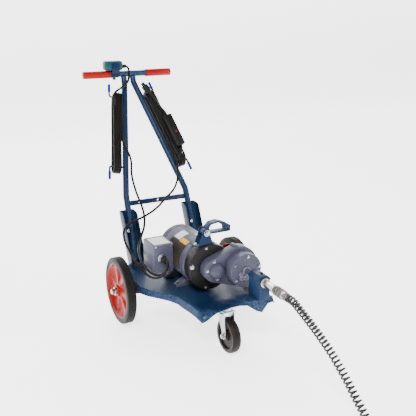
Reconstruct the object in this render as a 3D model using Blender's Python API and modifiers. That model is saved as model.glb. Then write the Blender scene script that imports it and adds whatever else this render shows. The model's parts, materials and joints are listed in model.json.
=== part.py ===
"""Wheeled electric drain-cleaning machine, as an assembly of separate solids.

Metres, +Z up. The drive line points to -Y (front), +X is the right-hand wheel. Every piece is
placed from the middle of the wheel axle on the floor, and the whole set hangs on one empty that
moves the box's middle, without the cords, to the world's origin.
"""
import math

import bmesh
import bpy
from mathutils import Matrix, Vector

# ---- fits ----------------------------------------------------------------------------------
TOUCH = 0.0003            # gap between faces that touch
SLACK = 0.0008            # side play of a piece that turns between two others

# ---- wheels and axle -----------------------------------------------------------------------
WHEEL_R = 0.127
WHEEL_WIDTH = 0.036
RIM_R = 0.105
TRACK = 0.4934            # between the wheels' middle planes
AXLE_R = 0.008
AXLE_END = 0.020          # axle past the outer face of the hub
HUB_BOSS_R = 0.021
HUB_BORE_PLAY = 0.00035
WHEEL_SIDES = 34          # facets shared by the tyre and the hub it sits on

# ---- deck ----------------------------------------------------------------------------------
DECK_TOP = 0.169
DECK_T = 0.003
DECK_REAR = 0.130         # rear edge, behind the axle
DECK_HALF = 0.205         # half width between the wheels
DECK_WAIST = 0.118        # half width at the drive line
DECK_FRONT = 0.403        # front fold, ahead of the axle
SKIRT_DROP = 0.024
SKIRT_FLARE = 0.007
NOSE_RISE = 0.034         # height of the shelf under the bearing block
CHANNEL_DEPTH = 0.050
CHANNEL_WALL = 0.003

# ---- caster --------------------------------------------------------------------------------
CASTER_R = 0.0635
CASTER_WIDTH = 0.032
CASTER_AHEAD = 0.3757     # swivel axis ahead of the axle
CASTER_TRAIL = 0.021
CASTER_PLATE = (0.076, 0.048, 0.003)
FORK_T = 0.0025
KINGPIN_R = 0.006
CASTER_BOLT_R = 0.004

# ---- handle --------------------------------------------------------------------------------
TUBE_R = 0.0127
BAR_R = 0.0125
BAR_HALF = 0.197
BAR_Y = 0.4976
BAR_Z = 0.8806
GRIP_START = 0.0794
GRIP_WALL = 0.0027
NECK_X = 0.0204           # uprights under the bar
NECK_DROP = 0.036
NECK_LEAN = 0.012
BEND = (0.131, 0.217, 0.427)
FOOT = (0.138, 0.115, 0.192)
BRACE_Z = 0.398
BRACE_H = 0.0195
BRACE_T = 0.008
BRACE_HOLE_R = 0.004
BRACKET_W = 0.060
BRACKET_DEPTH = 0.054
BRACKET_TOP = 0.372
BRACKET_WALL = 0.003

# ---- cord hooks and hanks ------------------------------------------------------------------
HOOK_R = 0.004
HOOK_REACH = 0.0543       # from the upright's skin to the turned-up end
HOOK_TIP = 0.056
HOOK_BELOW_BAR = 0.0986
HOOK_ABOVE_BEND = 0.100
HANK_GAP = 0.0007         # round the hook rod
HANK_T = 0.024
HANK_W = 0.044
HANK_OFF = 0.002          # between the upright's skin and the hank
CORD_R = 0.004

# ---- motor ---------------------------------------------------------------------------------
SHAFT_Z = 0.267
MOTOR_R = 0.083
MOTOR_WALL = 0.003
SHELL_SIDES = 32          # facets shared by the shell and the stator inside it
MOTOR_REAR = -0.020       # distances ahead of the axle from here on
SHELL_START = 0.022
SHELL_END = 0.180
BELL_END = 0.217
ROTOR_R = 0.045
AIR_GAP = 0.0006
CORE = (0.055, 0.145)
SHAFT_R = 0.008
BEARING_R = 0.020
BEARING_W = 0.014
CRADLE_HALF = 0.088
CRADLE_TOP = 0.052        # half width of the saddle itself
CRADLE_LIP = 0.006
CRADLE_WRAP = 0.013       # how far the saddles rise round the shell
BOX_OUT = 0.163
BOX_Y = (0.032, 0.130)
BOX_Z = (0.222, 0.330)
BOX_WALL = 0.0025
GLAND_R = 0.0125
GLAND_LEN = 0.020
GLAND_X = 0.133
GLAND_Z = 0.281

# ---- reducer -------------------------------------------------------------------------------
ADAPTER_END = 0.262
ADAPTER_R = 0.0845
OFFSET = 0.095            # output axis to the right of the motor axis
TEETH_GEAR = 33
TEETH_PINION = 17
BACKLASH = 0.0009
GEAR_FACE = (0.2705, 0.2925)
CASE_END = 0.300
CASE_WALL = 0.0055
TIP_PLAY = 0.0015
BOSS_R = 0.026
BOSS_LEN = 0.026
WINDOW_PLAY = 0.008       # opening in the case's end, round the output shaft
COVER_R = 0.062
COVER_END = 0.350
OUTPUT_R = 0.010
OUTPUT_END = 0.5275

# ---- bearing block and couplings -----------------------------------------------------------
BLOCK = (0.400, 0.470)
BLOCK_HALF = 0.020
BUSH_R = 0.0145
BUSH_FLANGE = (0.0165, 0.003)
COUPLING_R = 0.0135
COUPLING_END = 0.532
KNURL_R = 0.0165
KNURL_END = 0.588
DRIVE_END = 0.607
SOCKET_R = 0.009

# ---- lift handle ---------------------------------------------------------------------------
LIFT_Y = (0.2185, 0.2565)
LIFT_PLATE = (-0.060, 0.020)
LIFT_PIVOT = (-0.014, 0.396)
LIFT_EAR_R = 0.015
LIFT_EAR_T = 0.003
LIFT_BASE_T = 0.004
LIFT_STRAP = 0.006
LIFT_LEN = 0.098
LIFT_PIN_R = 0.005
LIFT_HUB_R = 0.011

# ---- switch --------------------------------------------------------------------------------
SWITCH_X = -0.066
SWITCH_SIZE = (0.078, 0.046, 0.040)
CLAMP_W = 0.034
CLAMP_GAP = 0.0020          # between the clamp and the left grip
CLAMP_WALL = 0.003
TOGGLE_R = 0.004
TOGGLE_OUT = 0.016
TOGGLE_PIVOT_IN = 0.010

# ---- cords ---------------------------------------------------------------------------------
PLUG_R = 0.0145
PLUG_LEN = 0.040
GUARD_SIZE = (0.036, 0.030, 0.143)      # width, thickness, length
BUTTON_R = 0.0045
BUTTON_AT = 0.012         # from the guard's middle, along it
BUTTON_TRAVEL = 0.0034    # clear below the button at rest
CABLE_R = 0.014
COIL_MEAN_R = 0.150
END_FITTING = 0.058       # length of the coupling inside the coil

SWITCH_REAR = BAR_Y + SWITCH_SIZE[1] / 2 + TOGGLE_OUT
SET_BACK = (DRIVE_END - SWITCH_REAR) / 2

COLOURS = {
    "navy": (0.012, 0.040, 0.105, 0.35, 0.0), "steel": (0.62, 0.62, 0.60, 0.30, 1.0),
    "zinc": (0.72, 0.73, 0.76, 0.25, 1.0), "tyre": (0.030, 0.028, 0.026, 0.80, 0.0),
    "red": (0.58, 0.022, 0.015, 0.40, 0.0), "motor": (0.125, 0.130, 0.195, 0.45, 0.2),
    "charcoal": (0.060, 0.058, 0.060, 0.55, 0.1), "copper": (0.70, 0.28, 0.12, 0.40, 0.8),
    "brass": (0.83, 0.70, 0.42, 0.35, 0.9), "teal": (0.022, 0.110, 0.160, 0.40, 0.0),
    "black": (0.018, 0.016, 0.014, 0.55, 0.0), "vinyl": (0.010, 0.012, 0.230, 0.40, 0.0),
}


# ---- building helpers ----------------------------------------------------------------------
def clear_scene():
    for obj in list(bpy.data.objects):
        bpy.data.objects.remove(obj)


def make_collection(name):
    found = bpy.data.collections.new(name)
    bpy.context.scene.collection.children.link(found)
    return found


clear_scene()
PARTS = make_collection("drain_machine")
CUTTERS = make_collection("cutters")
CUTTERS.hide_render = True
BASE = bpy.data.objects.new("axle_middle", None)
BASE.location = (0, SET_BACK, 0)
PARTS.objects.link(BASE)


def material(name):
    found = bpy.data.materials.get(name)
    if found:
        return found
    found = bpy.data.materials.new(name)
    found.use_nodes = True
    red, green, blue, rough, metal = COLOURS[name]
    shader = found.node_tree.nodes["Principled BSDF"]
    shader.inputs["Base Color"].default_value = (red, green, blue, 1)
    shader.inputs["Roughness"].default_value = rough
    shader.inputs["Metallic"].default_value = metal
    return found


def place(obj, finish):
    """Put a finished object among the parts, with its colour and under the common empty."""
    obj.data.materials.clear()
    obj.data.materials.append(material(finish))
    if obj.type == "MESH":
        obj.data.shade_smooth()
        obj.data.set_sharp_from_angle(angle=math.radians(35))
    PARTS.objects.link(obj)
    obj.parent = BASE
    return obj


def mesh_object(name, build, *args):
    """An unlinked mesh object whose bmesh is filled by build(bm, *args)."""
    mesh = bpy.data.meshes.new(name)
    bm = bmesh.new()
    build(bm, *args)
    bmesh.ops.recalc_face_normals(bm, faces=bm.faces)
    bm.to_mesh(mesh)
    bm.free()
    return bpy.data.objects.new(name, mesh)


def fill_box(bm, low, high):
    size = [b - a for a, b in zip(low, high)]
    middle = [(a + b) / 2 for a, b in zip(low, high)]
    matrix = Matrix.Translation(middle) @ Matrix.Diagonal((*size, 1))
    bmesh.ops.create_cube(bm, size=1, matrix=matrix)


def box(name, low, high):
    return mesh_object(name, fill_box, low, high)


def fill_rod(bm, start, end, radius, sides):
    start, end = Vector(start), Vector(end)
    turn = (end - start).to_track_quat("Z", "Y").to_matrix().to_4x4()
    matrix = Matrix.Translation((start + end) / 2) @ turn
    bmesh.ops.create_cone(bm, cap_ends=True, segments=sides, radius1=radius, radius2=radius,
                          depth=(end - start).length, matrix=matrix)


def rod(name, start, end, radius, sides=24):
    return mesh_object(name, fill_rod, start, end, radius, sides)


def fill_prism(bm, outline, axis, low, high):
    """A flat outline pushed from low to high along one axis; the outline's pair is the other two."""
    def at(pair, along):
        return {"X": (along, *pair), "Y": (pair[0], along, pair[1]), "Z": (*pair, along)}[axis]
    verts = [bm.verts.new(at(pair, low)) for pair in outline]
    face = bm.faces.new(verts)
    pushed = bmesh.ops.extrude_face_region(bm, geom=[face])
    moved = [item for item in pushed["geom"] if isinstance(item, bmesh.types.BMVert)]
    step = Vector(at((0, 0), high)) - Vector(at((0, 0), low))
    bmesh.ops.translate(bm, verts=moved, vec=step)


def prism(name, outline, axis, low, high):
    return mesh_object(name, fill_prism, outline, axis, low, high)


def turned(name, profile, at, axis="Y", closed=False, steps=40):
    """A lathe-turned piece: profile pairs are (radius, distance along the axis).

    Along Y the distance counts forward (-Y); along X it counts to +X and along Z upward."""
    mesh = bpy.data.meshes.new(name)
    last = len(profile)
    edges = [(i, i + 1) for i in range(last - 1)] + ([(last - 1, 0)] if closed else [])
    mesh.from_pydata([(r, 0, h) for r, h in profile], edges, [])
    obj = bpy.data.objects.new(name, mesh)
    screw = obj.modifiers.new("turn", "SCREW")
    screw.axis = "Z"
    screw.steps = screw.render_steps = steps
    screw.use_merge_vertices = True
    screw.merge_threshold = 0.00005
    obj.location = at
    obj.rotation_euler = {"X": (0, math.pi / 2, 0), "Y": (math.pi / 2, 0, 0), "Z": (0, 0, 0)}[axis]
    return obj


def ring_profile(outer, inner, low, high):
    return [(outer, high), (outer, low), (inner, low), (inner, high)]


def ring(name, outer, inner, low, high, at, axis="Y", steps=40):
    return turned(name, ring_profile(outer, inner, low, high), at, axis, True, steps)


def as_mesh(obj):
    """The same piece with its modifiers or curve made into plain faces, caps welded on."""
    bpy.context.scene.collection.objects.link(obj)
    bpy.context.view_layer.update()
    graph = bpy.context.evaluated_depsgraph_get()
    mesh = bpy.data.meshes.new_from_object(obj.evaluated_get(graph))
    bm = bmesh.new()
    bm.from_mesh(mesh)
    bmesh.ops.remove_doubles(bm, verts=bm.verts, dist=0.00002)
    bm.transform(obj.matrix_world)
    bm.to_mesh(mesh)
    bm.free()
    name = obj.name
    bpy.data.objects.remove(obj)
    return bpy.data.objects.new(name, mesh)


def combine(obj, other, operation):
    """Boolean of two pieces; the other one is kept as a hidden cutter."""
    if obj.modifiers or obj.type == "CURVE":
        obj = as_mesh(obj)
    if other.modifiers or other.type == "CURVE":
        other = as_mesh(other)
    for item in (other, obj):
        bpy.context.scene.collection.objects.link(item)
    step = obj.modifiers.new(operation, "BOOLEAN")
    step.operation = operation
    step.object = other
    bpy.context.view_layer.update()
    graph = bpy.context.evaluated_depsgraph_get()
    mesh = bpy.data.meshes.new_from_object(obj.evaluated_get(graph))
    name = obj.name
    bpy.data.objects.remove(obj)
    bpy.data.objects.remove(other)
    return bpy.data.objects.new(name, mesh)


def cut(obj, *others):
    for other in others:
        obj = combine(obj, other, "DIFFERENCE")
    return obj


def join(obj, *others):
    for other in others:
        obj = combine(obj, other, "UNION")
    return obj


def tube(name, points, radius, resolution=2):
    curve = bpy.data.curves.new(name, "CURVE")
    curve.dimensions = "3D"
    curve.bevel_depth = radius
    curve.bevel_resolution = resolution
    curve.use_fill_caps = True
    spline = curve.splines.new("POLY")
    spline.points.add(len(points) - 1)
    for point, place_at in zip(spline.points, points):
        point.co = (*place_at, 1)
    return bpy.data.objects.new(name, curve)


def rounded(points, radius, steps=5):
    """A path whose inner corners are replaced by arcs of this radius."""
    points = [Vector(p) for p in points]
    path = [points[0]]
    for before, corner, after in zip(points, points[1:], points[2:]):
        back, ahead = (before - corner).normalized(), (after - corner).normalized()
        half = back.angle(ahead) / 2
        reach = radius / math.tan(half)
        centre = corner + (back + ahead).normalized() * radius / math.sin(half)
        first, last = corner + back * reach - centre, corner + ahead * reach - centre
        path += [centre + slerp(first, last, i / steps) for i in range(steps + 1)]
    return path + [points[-1]]


def slerp(a, b, t):
    angle = a.angle(b)
    return (a * math.sin((1 - t) * angle) + b * math.sin(t * angle)) / math.sin(angle)


def smooth(points, spacing):
    """Points every spacing along a Catmull-Rom curve through the given ones."""
    knots = [Vector(p) for p in points]
    knots = [knots[0] * 2 - knots[1], *knots, knots[-1] * 2 - knots[-2]]
    fine = []
    for a, b, c, d in zip(knots, knots[1:], knots[2:], knots[3:]):
        for i in range(16):
            t = i / 16
            fine.append(0.5 * (2 * b + (c - a) * t + (2 * a - 5 * b + 4 * c - d) * t * t
                               + (3 * b - a - 3 * c + d) * t ** 3))
    fine.append(knots[-2])
    total = sum((b - a).length for a, b in zip(fine, fine[1:]))
    count = max(2, round(total / spacing))
    path, walked, target = [fine[0]], 0.0, total / count
    for a, b in zip(fine, fine[1:]):
        step = (b - a).length
        while walked + step >= target - 1e-9 and len(path) < count:
            path.append(a.lerp(b, (target - walked) / step))
            target += total / count
        walked += step
    return path + [fine[-1]]


def circle(radius, centre, start=0.0, end=2 * math.pi, steps=24):
    """Points along an arc; a full circle leaves out its repeated last point."""
    closed = abs(end - start) > 6.28
    count = steps if closed else steps + 1
    return [(centre[0] + radius * math.cos(start + (end - start) * i / steps),
             centre[1] + radius * math.sin(start + (end - start) * i / steps)) for i in range(count)]


def two_circles(radius_a, centre_a, radius_b, centre_b, steps=18):
    """The outline that wraps two circles in one XZ plane, the first one on the left."""
    gap = centre_b[0] - centre_a[0]
    lean = math.acos((radius_a - radius_b) / gap)
    left = circle(radius_a, centre_a, lean, 2 * math.pi - lean, steps)
    return left + circle(radius_b, centre_b, -lean, lean, steps)


def gear_outline(teeth, module, phase, centre):
    """Involute spur gear outline, with a third of the backlash taken from each flank."""
    pitch = module * teeth / 2
    base = pitch * math.cos(math.radians(20))
    root, tip = pitch - 1.15 * module, pitch + 0.95 * module
    half = math.pi / (2 * teeth) - BACKLASH / (3 * pitch)
    low = max(base, root)
    shoulder = max(low, pitch - 0.35 * module)

    def flank(radius):
        angle = math.acos(min(1, base / radius))
        rest = math.radians(20)
        return half + (math.tan(rest) - rest) - (math.tan(angle) - angle)

    sides = [(root, flank(low)), (shoulder, flank(shoulder)), (tip, flank(tip))]
    points = []
    for tooth in range(teeth):
        middle = phase + 2 * math.pi * tooth / teeth
        for radius, angle in sides:
            points.append((radius, middle - angle))
        for radius, angle in reversed(sides):
            points.append((radius, middle + angle))
    return [(centre[0] + r * math.cos(a), centre[1] + r * math.sin(a)) for r, a in points]


def ahead(value):
    return -value


def stand(obj, matrix):
    """Move a mesh by a matrix; one that mirrors it gets its faces turned back out."""
    obj.data.transform(matrix)
    if matrix.determinant() < 0:
        obj.data.flip_normals()


# ---- wheels --------------------------------------------------------------------------------
def wheel(side, label):
    """Solid rubber tyre on a moulded hub; the tyre's bore seats in the hub's rim."""
    middle = (side * TRACK / 2, 0, WHEEL_R)
    half = WHEEL_WIDTH / 2
    crown = 0.006
    tyre = [(WHEEL_R - crown, half), (WHEEL_R - 0.0015, half - 0.003), (WHEEL_R, half - 0.008),
            (WHEEL_R, 0.008 - half), (WHEEL_R - 0.0015, 0.003 - half), (WHEEL_R - crown, -half),
            (RIM_R + TOUCH, -half), (RIM_R + TOUCH, half)]
    place(turned(f"wheel_{label}_tyre", tyre, middle, "X", True, WHEEL_SIDES), "tyre")
    rim, web, boss = half - 0.001, 0.004, half + 0.002
    bore = AXLE_R + HUB_BORE_PLAY
    hub = [(RIM_R, rim), (RIM_R, -rim), (RIM_R - 0.006, -rim), (RIM_R - 0.010, -web),
           (HUB_BOSS_R + 0.006, -web), (HUB_BOSS_R, -boss), (bore, -boss), (bore, boss),
           (HUB_BOSS_R, boss), (HUB_BOSS_R + 0.006, web), (RIM_R - 0.010, web), (RIM_R - 0.006, rim)]
    place(turned(f"wheel_{label}_hub", hub, middle, "X", True, WHEEL_SIDES), "red")


def axle():
    reach = TRACK / 2 + WHEEL_WIDTH / 2 + AXLE_END
    place(rod("axle", (-reach, 0, WHEEL_R), (reach, 0, WHEEL_R), AXLE_R, 24), "steel")


def axle_channel():
    """Folded channel under the deck whose end plates carry the axle."""
    half_y, low = CHANNEL_DEPTH / 2, WHEEL_R - 0.017
    end = DECK_HALF - 0.012
    top = DECK_TOP - DECK_T - TOUCH
    body = box("axle_channel", (-end, -half_y, low), (end, half_y, top))
    wall = CHANNEL_WALL
    hollow = box("hollow", (wall - end, wall - half_y, low - 0.01), (end - wall, half_y - wall, top - wall))
    hole = rod("hole", (-end - 0.01, 0, WHEEL_R), (end + 0.01, 0, WHEEL_R), AXLE_R + TOUCH, 24)
    place(cut(body, hollow, hole), "navy")


# ---- deck ----------------------------------------------------------------------------------
def step_up(value):
    value = min(1, max(0, value))
    return value * value * (3 - 2 * value)


def deck_half(forward, side):
    """Half width of the flat part at a distance ahead of the axle; the right side ends wider."""
    narrow = step_up((forward - 0.085) / 0.175)
    tail = step_up((forward - 0.26) / 0.15) * 0.016
    nose = 0.036 * step_up((forward - 0.33) / 0.07) if side > 0 else 0
    return DECK_HALF + (DECK_WAIST - DECK_HALF) * narrow - tail + nose


def deck_front(across):
    """The front fold's distance ahead of the axle, further out below the bearing block."""
    return DECK_FRONT + 0.052 * step_up((across - 0.015) / 0.055)


def deck_height(across, forward):
    nose = step_up((across - 0.020) / 0.050) * step_up((forward - 0.335) / 0.060)
    arch = 0.008 * math.exp(-((across - 0.02) / 0.035) ** 2) * step_up((forward - 0.33) / 0.06)
    corner = 0.010 * step_up((-across - 0.05) / 0.05) * step_up((forward - 0.34) / 0.06)
    return DECK_TOP + NOSE_RISE * nose + arch * (1 - nose) - corner


def skirt_drop(across):
    """How far the front edge hangs below the sheet: deep at both corners, almost gone between."""
    gap = 0.003 - SKIRT_DROP
    left = math.exp(-((across + 0.113) / 0.050) ** 2)
    right = 2.1 * math.exp(-((across - 0.085) / 0.028) ** 2)
    end = 0.6 * math.exp(-((across - 0.140) / 0.020) ** 2)
    return min(-0.002, gap * left - SKIRT_DROP * (right + end))


def deck_point(row, column, rows, columns):
    """Vertex of the deck's sheet; the outermost rows and columns are the folded-down edge."""
    along = min(max(row - 1, 0), rows - 2) / (rows - 2)
    across = min(max(column - 1, 0), columns - 2) / (columns - 2) * 2 - 1
    rough_x = across * deck_half(DECK_FRONT * along - DECK_REAR * (1 - along), across)
    forward = -DECK_REAR + along * (DECK_REAR + deck_front(rough_x))
    x = across * deck_half(forward, across)
    z = deck_height(x, forward)
    sides = column in (0, columns)
    ends = row in (0, rows)
    if row == rows:
        z += skirt_drop(x)
        forward += SKIRT_FLARE
    elif sides or ends:
        z -= SKIRT_DROP
        forward -= SKIRT_FLARE if row == 0 else 0
    if sides:
        x += math.copysign(SKIRT_FLARE, x)
    return x, -forward, z


def fill_deck(bm):
    rows, columns = 16, 14
    grid = [[bm.verts.new(deck_point(row, column, rows, columns)) for column in range(columns + 1)]
            for row in range(rows + 1)]
    for row in range(rows):
        for column in range(columns):
            bm.faces.new((grid[row][column], grid[row][column + 1],
                          grid[row + 1][column + 1], grid[row + 1][column]))


def deck():
    sheet = mesh_object("deck", fill_deck)
    wall = sheet.modifiers.new("sheet", "SOLIDIFY")
    wall.thickness = DECK_T
    wall.offset = -1 if sheet.data.polygons[len(sheet.data.polygons) // 2].normal.z > 0 else 1
    place(sheet, "navy")


# ---- caster --------------------------------------------------------------------------------
def caster():
    swivel = (0, ahead(CASTER_AHEAD))
    top = DECK_TOP - DECK_T - TOUCH
    wide, long, thick = CASTER_PLATE
    plate = box("caster_plate", (-wide / 2, swivel[1] - long / 2, top - thick),
                (wide / 2, swivel[1] + long / 2, top))
    race = top - thick - 0.011
    fork_top = race - TOUCH
    stem = [(0, top - 0.001), (0.024, top - 0.001), (0.024, race + 0.003), (0.021, race),
            (KINGPIN_R, race), (KINGPIN_R, fork_top - FORK_T - TOUCH),
            (0.010, fork_top - FORK_T - TOUCH), (0.010, fork_top - FORK_T - 0.004),
            (0, fork_top - FORK_T - 0.004)]
    stem = turned("stem", stem, (*swivel, 0), "Z", False, 24)
    place(join(plate, stem), "zinc")
    inner = CASTER_WIDTH / 2 + SLACK + 0.001
    outer = inner + FORK_T
    y_axle = swivel[1] - CASTER_TRAIL
    crown = box("caster_fork", (-outer, swivel[1] - 0.025, fork_top - FORK_T),
                (outer, swivel[1] + 0.025, fork_top))
    leg = [(swivel[1] + 0.025, fork_top), (swivel[1] + 0.023, fork_top - 0.018),
           *circle(0.012, (y_axle, CASTER_R), 0.35, -math.pi - 0.05, 8),
           (swivel[1] - 0.025, fork_top - 0.018), (swivel[1] - 0.025, fork_top)]
    legs = [prism("leg", leg, "X", side * inner, side * outer) for side in (-1, 1)]
    hole = rod("hole", (*swivel, fork_top - 0.02), (*swivel, fork_top + 0.02), KINGPIN_R + TOUCH, 24)
    bolt_hole = rod("bolt_hole", (-0.05, y_axle, CASTER_R), (0.05, y_axle, CASTER_R),
                    CASTER_BOLT_R + TOUCH, 20)
    place(cut(join(crown, *legs), hole, bolt_hole), "zinc")
    place(rod("caster_axle", (-outer - 0.005, y_axle, CASTER_R), (outer + 0.005, y_axle, CASTER_R),
              CASTER_BOLT_R, 20), "steel")
    half = CASTER_WIDTH / 2
    bore = CASTER_BOLT_R + TOUCH
    wheel_profile = [(CASTER_R - 0.006, half - 0.001), (CASTER_R - 0.001, half - 0.006), (CASTER_R, 0),
                     (CASTER_R - 0.001, 0.006 - half), (CASTER_R - 0.006, 0.001 - half),
                     (0.040, 0.003 - half), (0.017, 0.006 - half), (0.014, -half), (bore, -half),
                     (bore, half), (0.014, half), (0.017, half - 0.006), (0.040, half - 0.003)]
    place(turned("caster_wheel", wheel_profile, (0, y_axle, CASTER_R), "X", True, 24), "black")


# ---- handle --------------------------------------------------------------------------------
def on_side(point, side):
    return (side * point[0], point[1], point[2])


def upright_path():
    bar = Vector((NECK_X, BAR_Y, BAR_Z))
    neck = bar - Vector((0, NECK_LEAN, NECK_DROP))
    top = bar + (neck - bar).normalized() * (BAR_R + TOUCH)
    return [top, neck, BEND, FOOT]


def at_height(z):
    """Middle of the right-hand upright's long run at a height."""
    low, high = Vector(BEND), Vector(upright_path()[1])
    return low.lerp(high, (z - low.z) / (high.z - low.z))


def below_bend(z):
    low, high = Vector(FOOT), Vector(BEND)
    return low.lerp(high, (z - low.z) / (high.z - low.z))


def uprights():
    for side, label in ((-1, "left"), (1, "right")):
        path = [on_side(p, side) for p in upright_path()]
        path = rounded(path, 0.045)
        place(as_mesh(tube(f"upright_{label}", path, TUBE_R, 4)), "navy")


def handlebar():
    reach = BAR_HALF - GRIP_WALL - TOUCH
    place(rod("handlebar", (-reach, BAR_Y, BAR_Z), (reach, BAR_Y, BAR_Z), BAR_R, 28), "navy")
    for side, label in ((-1, "left"), (1, "right")):
        outer, inner = BAR_R + GRIP_WALL + TOUCH, BAR_R + TOUCH
        start = GRIP_START * side
        grip = turned(f"grip_{label}", [
            (0, BAR_HALF), (outer - 0.005, BAR_HALF), (outer - 0.0015, BAR_HALF - 0.0015),
            (outer, BAR_HALF - 0.005), (outer, GRIP_START), (inner, GRIP_START),
            (inner, BAR_HALF - GRIP_WALL), (0, BAR_HALF - GRIP_WALL)], (0, BAR_Y, BAR_Z), "X", False, 20)
        if start < 0:
            grip.rotation_euler = (0, -math.pi / 2, 0)
        place(grip, "red")


def cross_brace():
    """Flat bar between the uprights, drilled twice."""
    seat = below_bend(BRACE_Z)
    end = seat.x - TUBE_R - 0.0006
    front = seat.y - BRACE_T / 2
    bar = box("cross_brace", (-end, front, BRACE_Z - BRACE_H / 2),
              (end, front + BRACE_T, BRACE_Z + BRACE_H / 2))
    holes = [rod("hole", (x, front - 0.01, BRACE_Z), (x, front + 0.03, BRACE_Z), BRACE_HOLE_R, 20)
             for x in (-0.080, 0.0)]
    place(cut(bar, *holes), "navy")


def brackets():
    """Channels welded on the deck; each upright lies against the back of its channel."""
    lean = (BEND[1] - FOOT[1]) / (BEND[2] - FOOT[2])
    lift = math.sqrt(1 + lean * lean)
    low, high = DECK_TOP + TOUCH, BRACKET_TOP

    def web_y(z):
        return below_bend(z).y + (TUBE_R + TOUCH) * lift
    wall = BRACKET_WALL * lift
    for side, label in ((-1, "left"), (1, "right")):
        middle = side * (FOOT[0] + BEND[0]) / 2 + side * 0.002
        half = BRACKET_W / 2
        back_low, back_high = web_y(low) + wall, web_y(high) + wall
        outline = [(back_low - BRACKET_DEPTH, low), (back_low, low), (back_high, high)]
        corner = (back_high - BRACKET_DEPTH, high)
        outline += [(corner[0] + 0.022, corner[1]), (corner[0] + 0.010, corner[1] - 0.003),
                    (corner[0] + 0.001, corner[1] - 0.012)]
        body = prism(f"bracket_{label}", outline, "X", middle - half, middle + half)
        inside = [(web_y(low - 0.01) - 0.1, low - 0.01), (web_y(low - 0.01), low - 0.01),
                  (web_y(high + 0.01), high + 0.01), (web_y(high + 0.01) - 0.1, high + 0.01)]
        hollow = prism("hollow", inside, "X", middle - half + BRACKET_WALL, middle + half - BRACKET_WALL)
        place(cut(body, hollow), "navy")


def hank_frame(side):
    """Upper and lower hook middles, and the down, outward and front directions of a hank."""
    reach = TUBE_R + HANK_OFF + HANK_W / 2
    high, low = at_height(BAR_Z - HOOK_BELOW_BAR), at_height(BEND[2] + HOOK_ABOVE_BEND)
    down = (low - high).normalized()
    outward = Vector((1, 0, 0))
    outward = (outward - down * outward.dot(down)).normalized()
    front = down.cross(outward)
    front = front if front.y < 0 else -front
    mirror = Matrix.Diagonal((side, 1, 1))
    return [mirror @ v for v in (high + outward * reach, low + outward * reach, down, outward, front)]


def hooks():
    """Bent rods welded to the uprights, each ending in a plastic-dipped tip."""
    for side, label in ((-1, "left"), (1, "right")):
        high, low, down, outward, front = hank_frame(side)
        inner = TOUCH - HANK_OFF - HANK_W / 2
        outer = HOOK_REACH - HANK_OFF - HANK_W / 2
        for level, middle, turn in (("upper", high, -1), ("lower", low, 1)):
            path = [middle + outward * inner, middle + outward * outer,
                    middle + outward * outer + down * turn * HOOK_TIP]
            path = rounded(path, 0.009, 4)
            place(as_mesh(tube(f"hook_{level}_{label}", path, HOOK_R, 2)), "vinyl")


# ---- motor ---------------------------------------------------------------------------------
MOTOR_AXIS = (0, 0, SHAFT_Z)
OUTPUT_AXIS = (OFFSET, 0, SHAFT_Z)


def cradle(name, start, end):
    """Pressed foot whose saddle carries the round shell."""
    low, high = DECK_TOP + TOUCH, SHAFT_Z - MOTOR_R + CRADLE_WRAP
    outline = [(-CRADLE_HALF, low), (CRADLE_HALF, low), (CRADLE_HALF, low + CRADLE_LIP),
               (CRADLE_TOP, high), (-CRADLE_TOP, high), (-CRADLE_HALF, low + CRADLE_LIP)]
    return prism(name, outline, "Y", ahead(end), ahead(start))


def motor_shell():
    """Rolled steel shell, open at both ends, with its two welded feet."""
    inner = MOTOR_R - MOTOR_WALL
    shell = ring("motor_shell", MOTOR_R, inner, SHELL_START, SHELL_END, MOTOR_AXIS, "Y", SHELL_SIDES)
    feet = [cradle("foot", start, start + 0.030) for start in (0.036, 0.136)]
    body = join(shell, *feet)
    bore = rod("bore", (0, ahead(SHELL_START - 0.01), SHAFT_Z), (0, ahead(SHELL_END + 0.01), SHAFT_Z),
               inner, SHELL_SIDES)
    place(cut(body, bore), "motor")


def bell(name, face, rim):
    """Cast end bell: outer wall, dished face and a bored boss for the bearing."""
    way = 1 if rim < face else -1
    pocket = BEARING_R + TOUCH

    def at(depth):
        return face - way * depth
    outline = [(MOTOR_R - 0.012, at(0)), (MOTOR_R, at(0.012)), (MOTOR_R, rim), (MOTOR_R - 0.006, rim),
               (MOTOR_R - 0.007, at(0.014)), (pocket + 0.006, at(0.006)),
               (pocket + 0.006, at(0.008 + BEARING_W)), (pocket, at(0.008 + BEARING_W)),
               (pocket, at(0.004)), (SHAFT_R + 0.002, at(0.004)), (SHAFT_R + 0.002, at(0))]
    if way < 0:
        outline.reverse()
    place(turned(name, outline, MOTOR_AXIS, "Y", True, 28), "motor")


def bearing(name, face, rim, axis):
    way = 1 if rim < face else -1
    ends = sorted((face - way * (0.004 + TOUCH), face - way * (0.004 + TOUCH + BEARING_W)))
    place(ring(name, BEARING_R, SHAFT_R + TOUCH, *ends, axis, "Y", 24), "steel")


def stator():
    outer = MOTOR_R - MOTOR_WALL - TOUCH
    place(ring("stator", outer, ROTOR_R + AIR_GAP, *CORE, MOTOR_AXIS, "Y", SHELL_SIDES), "copper")


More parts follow.
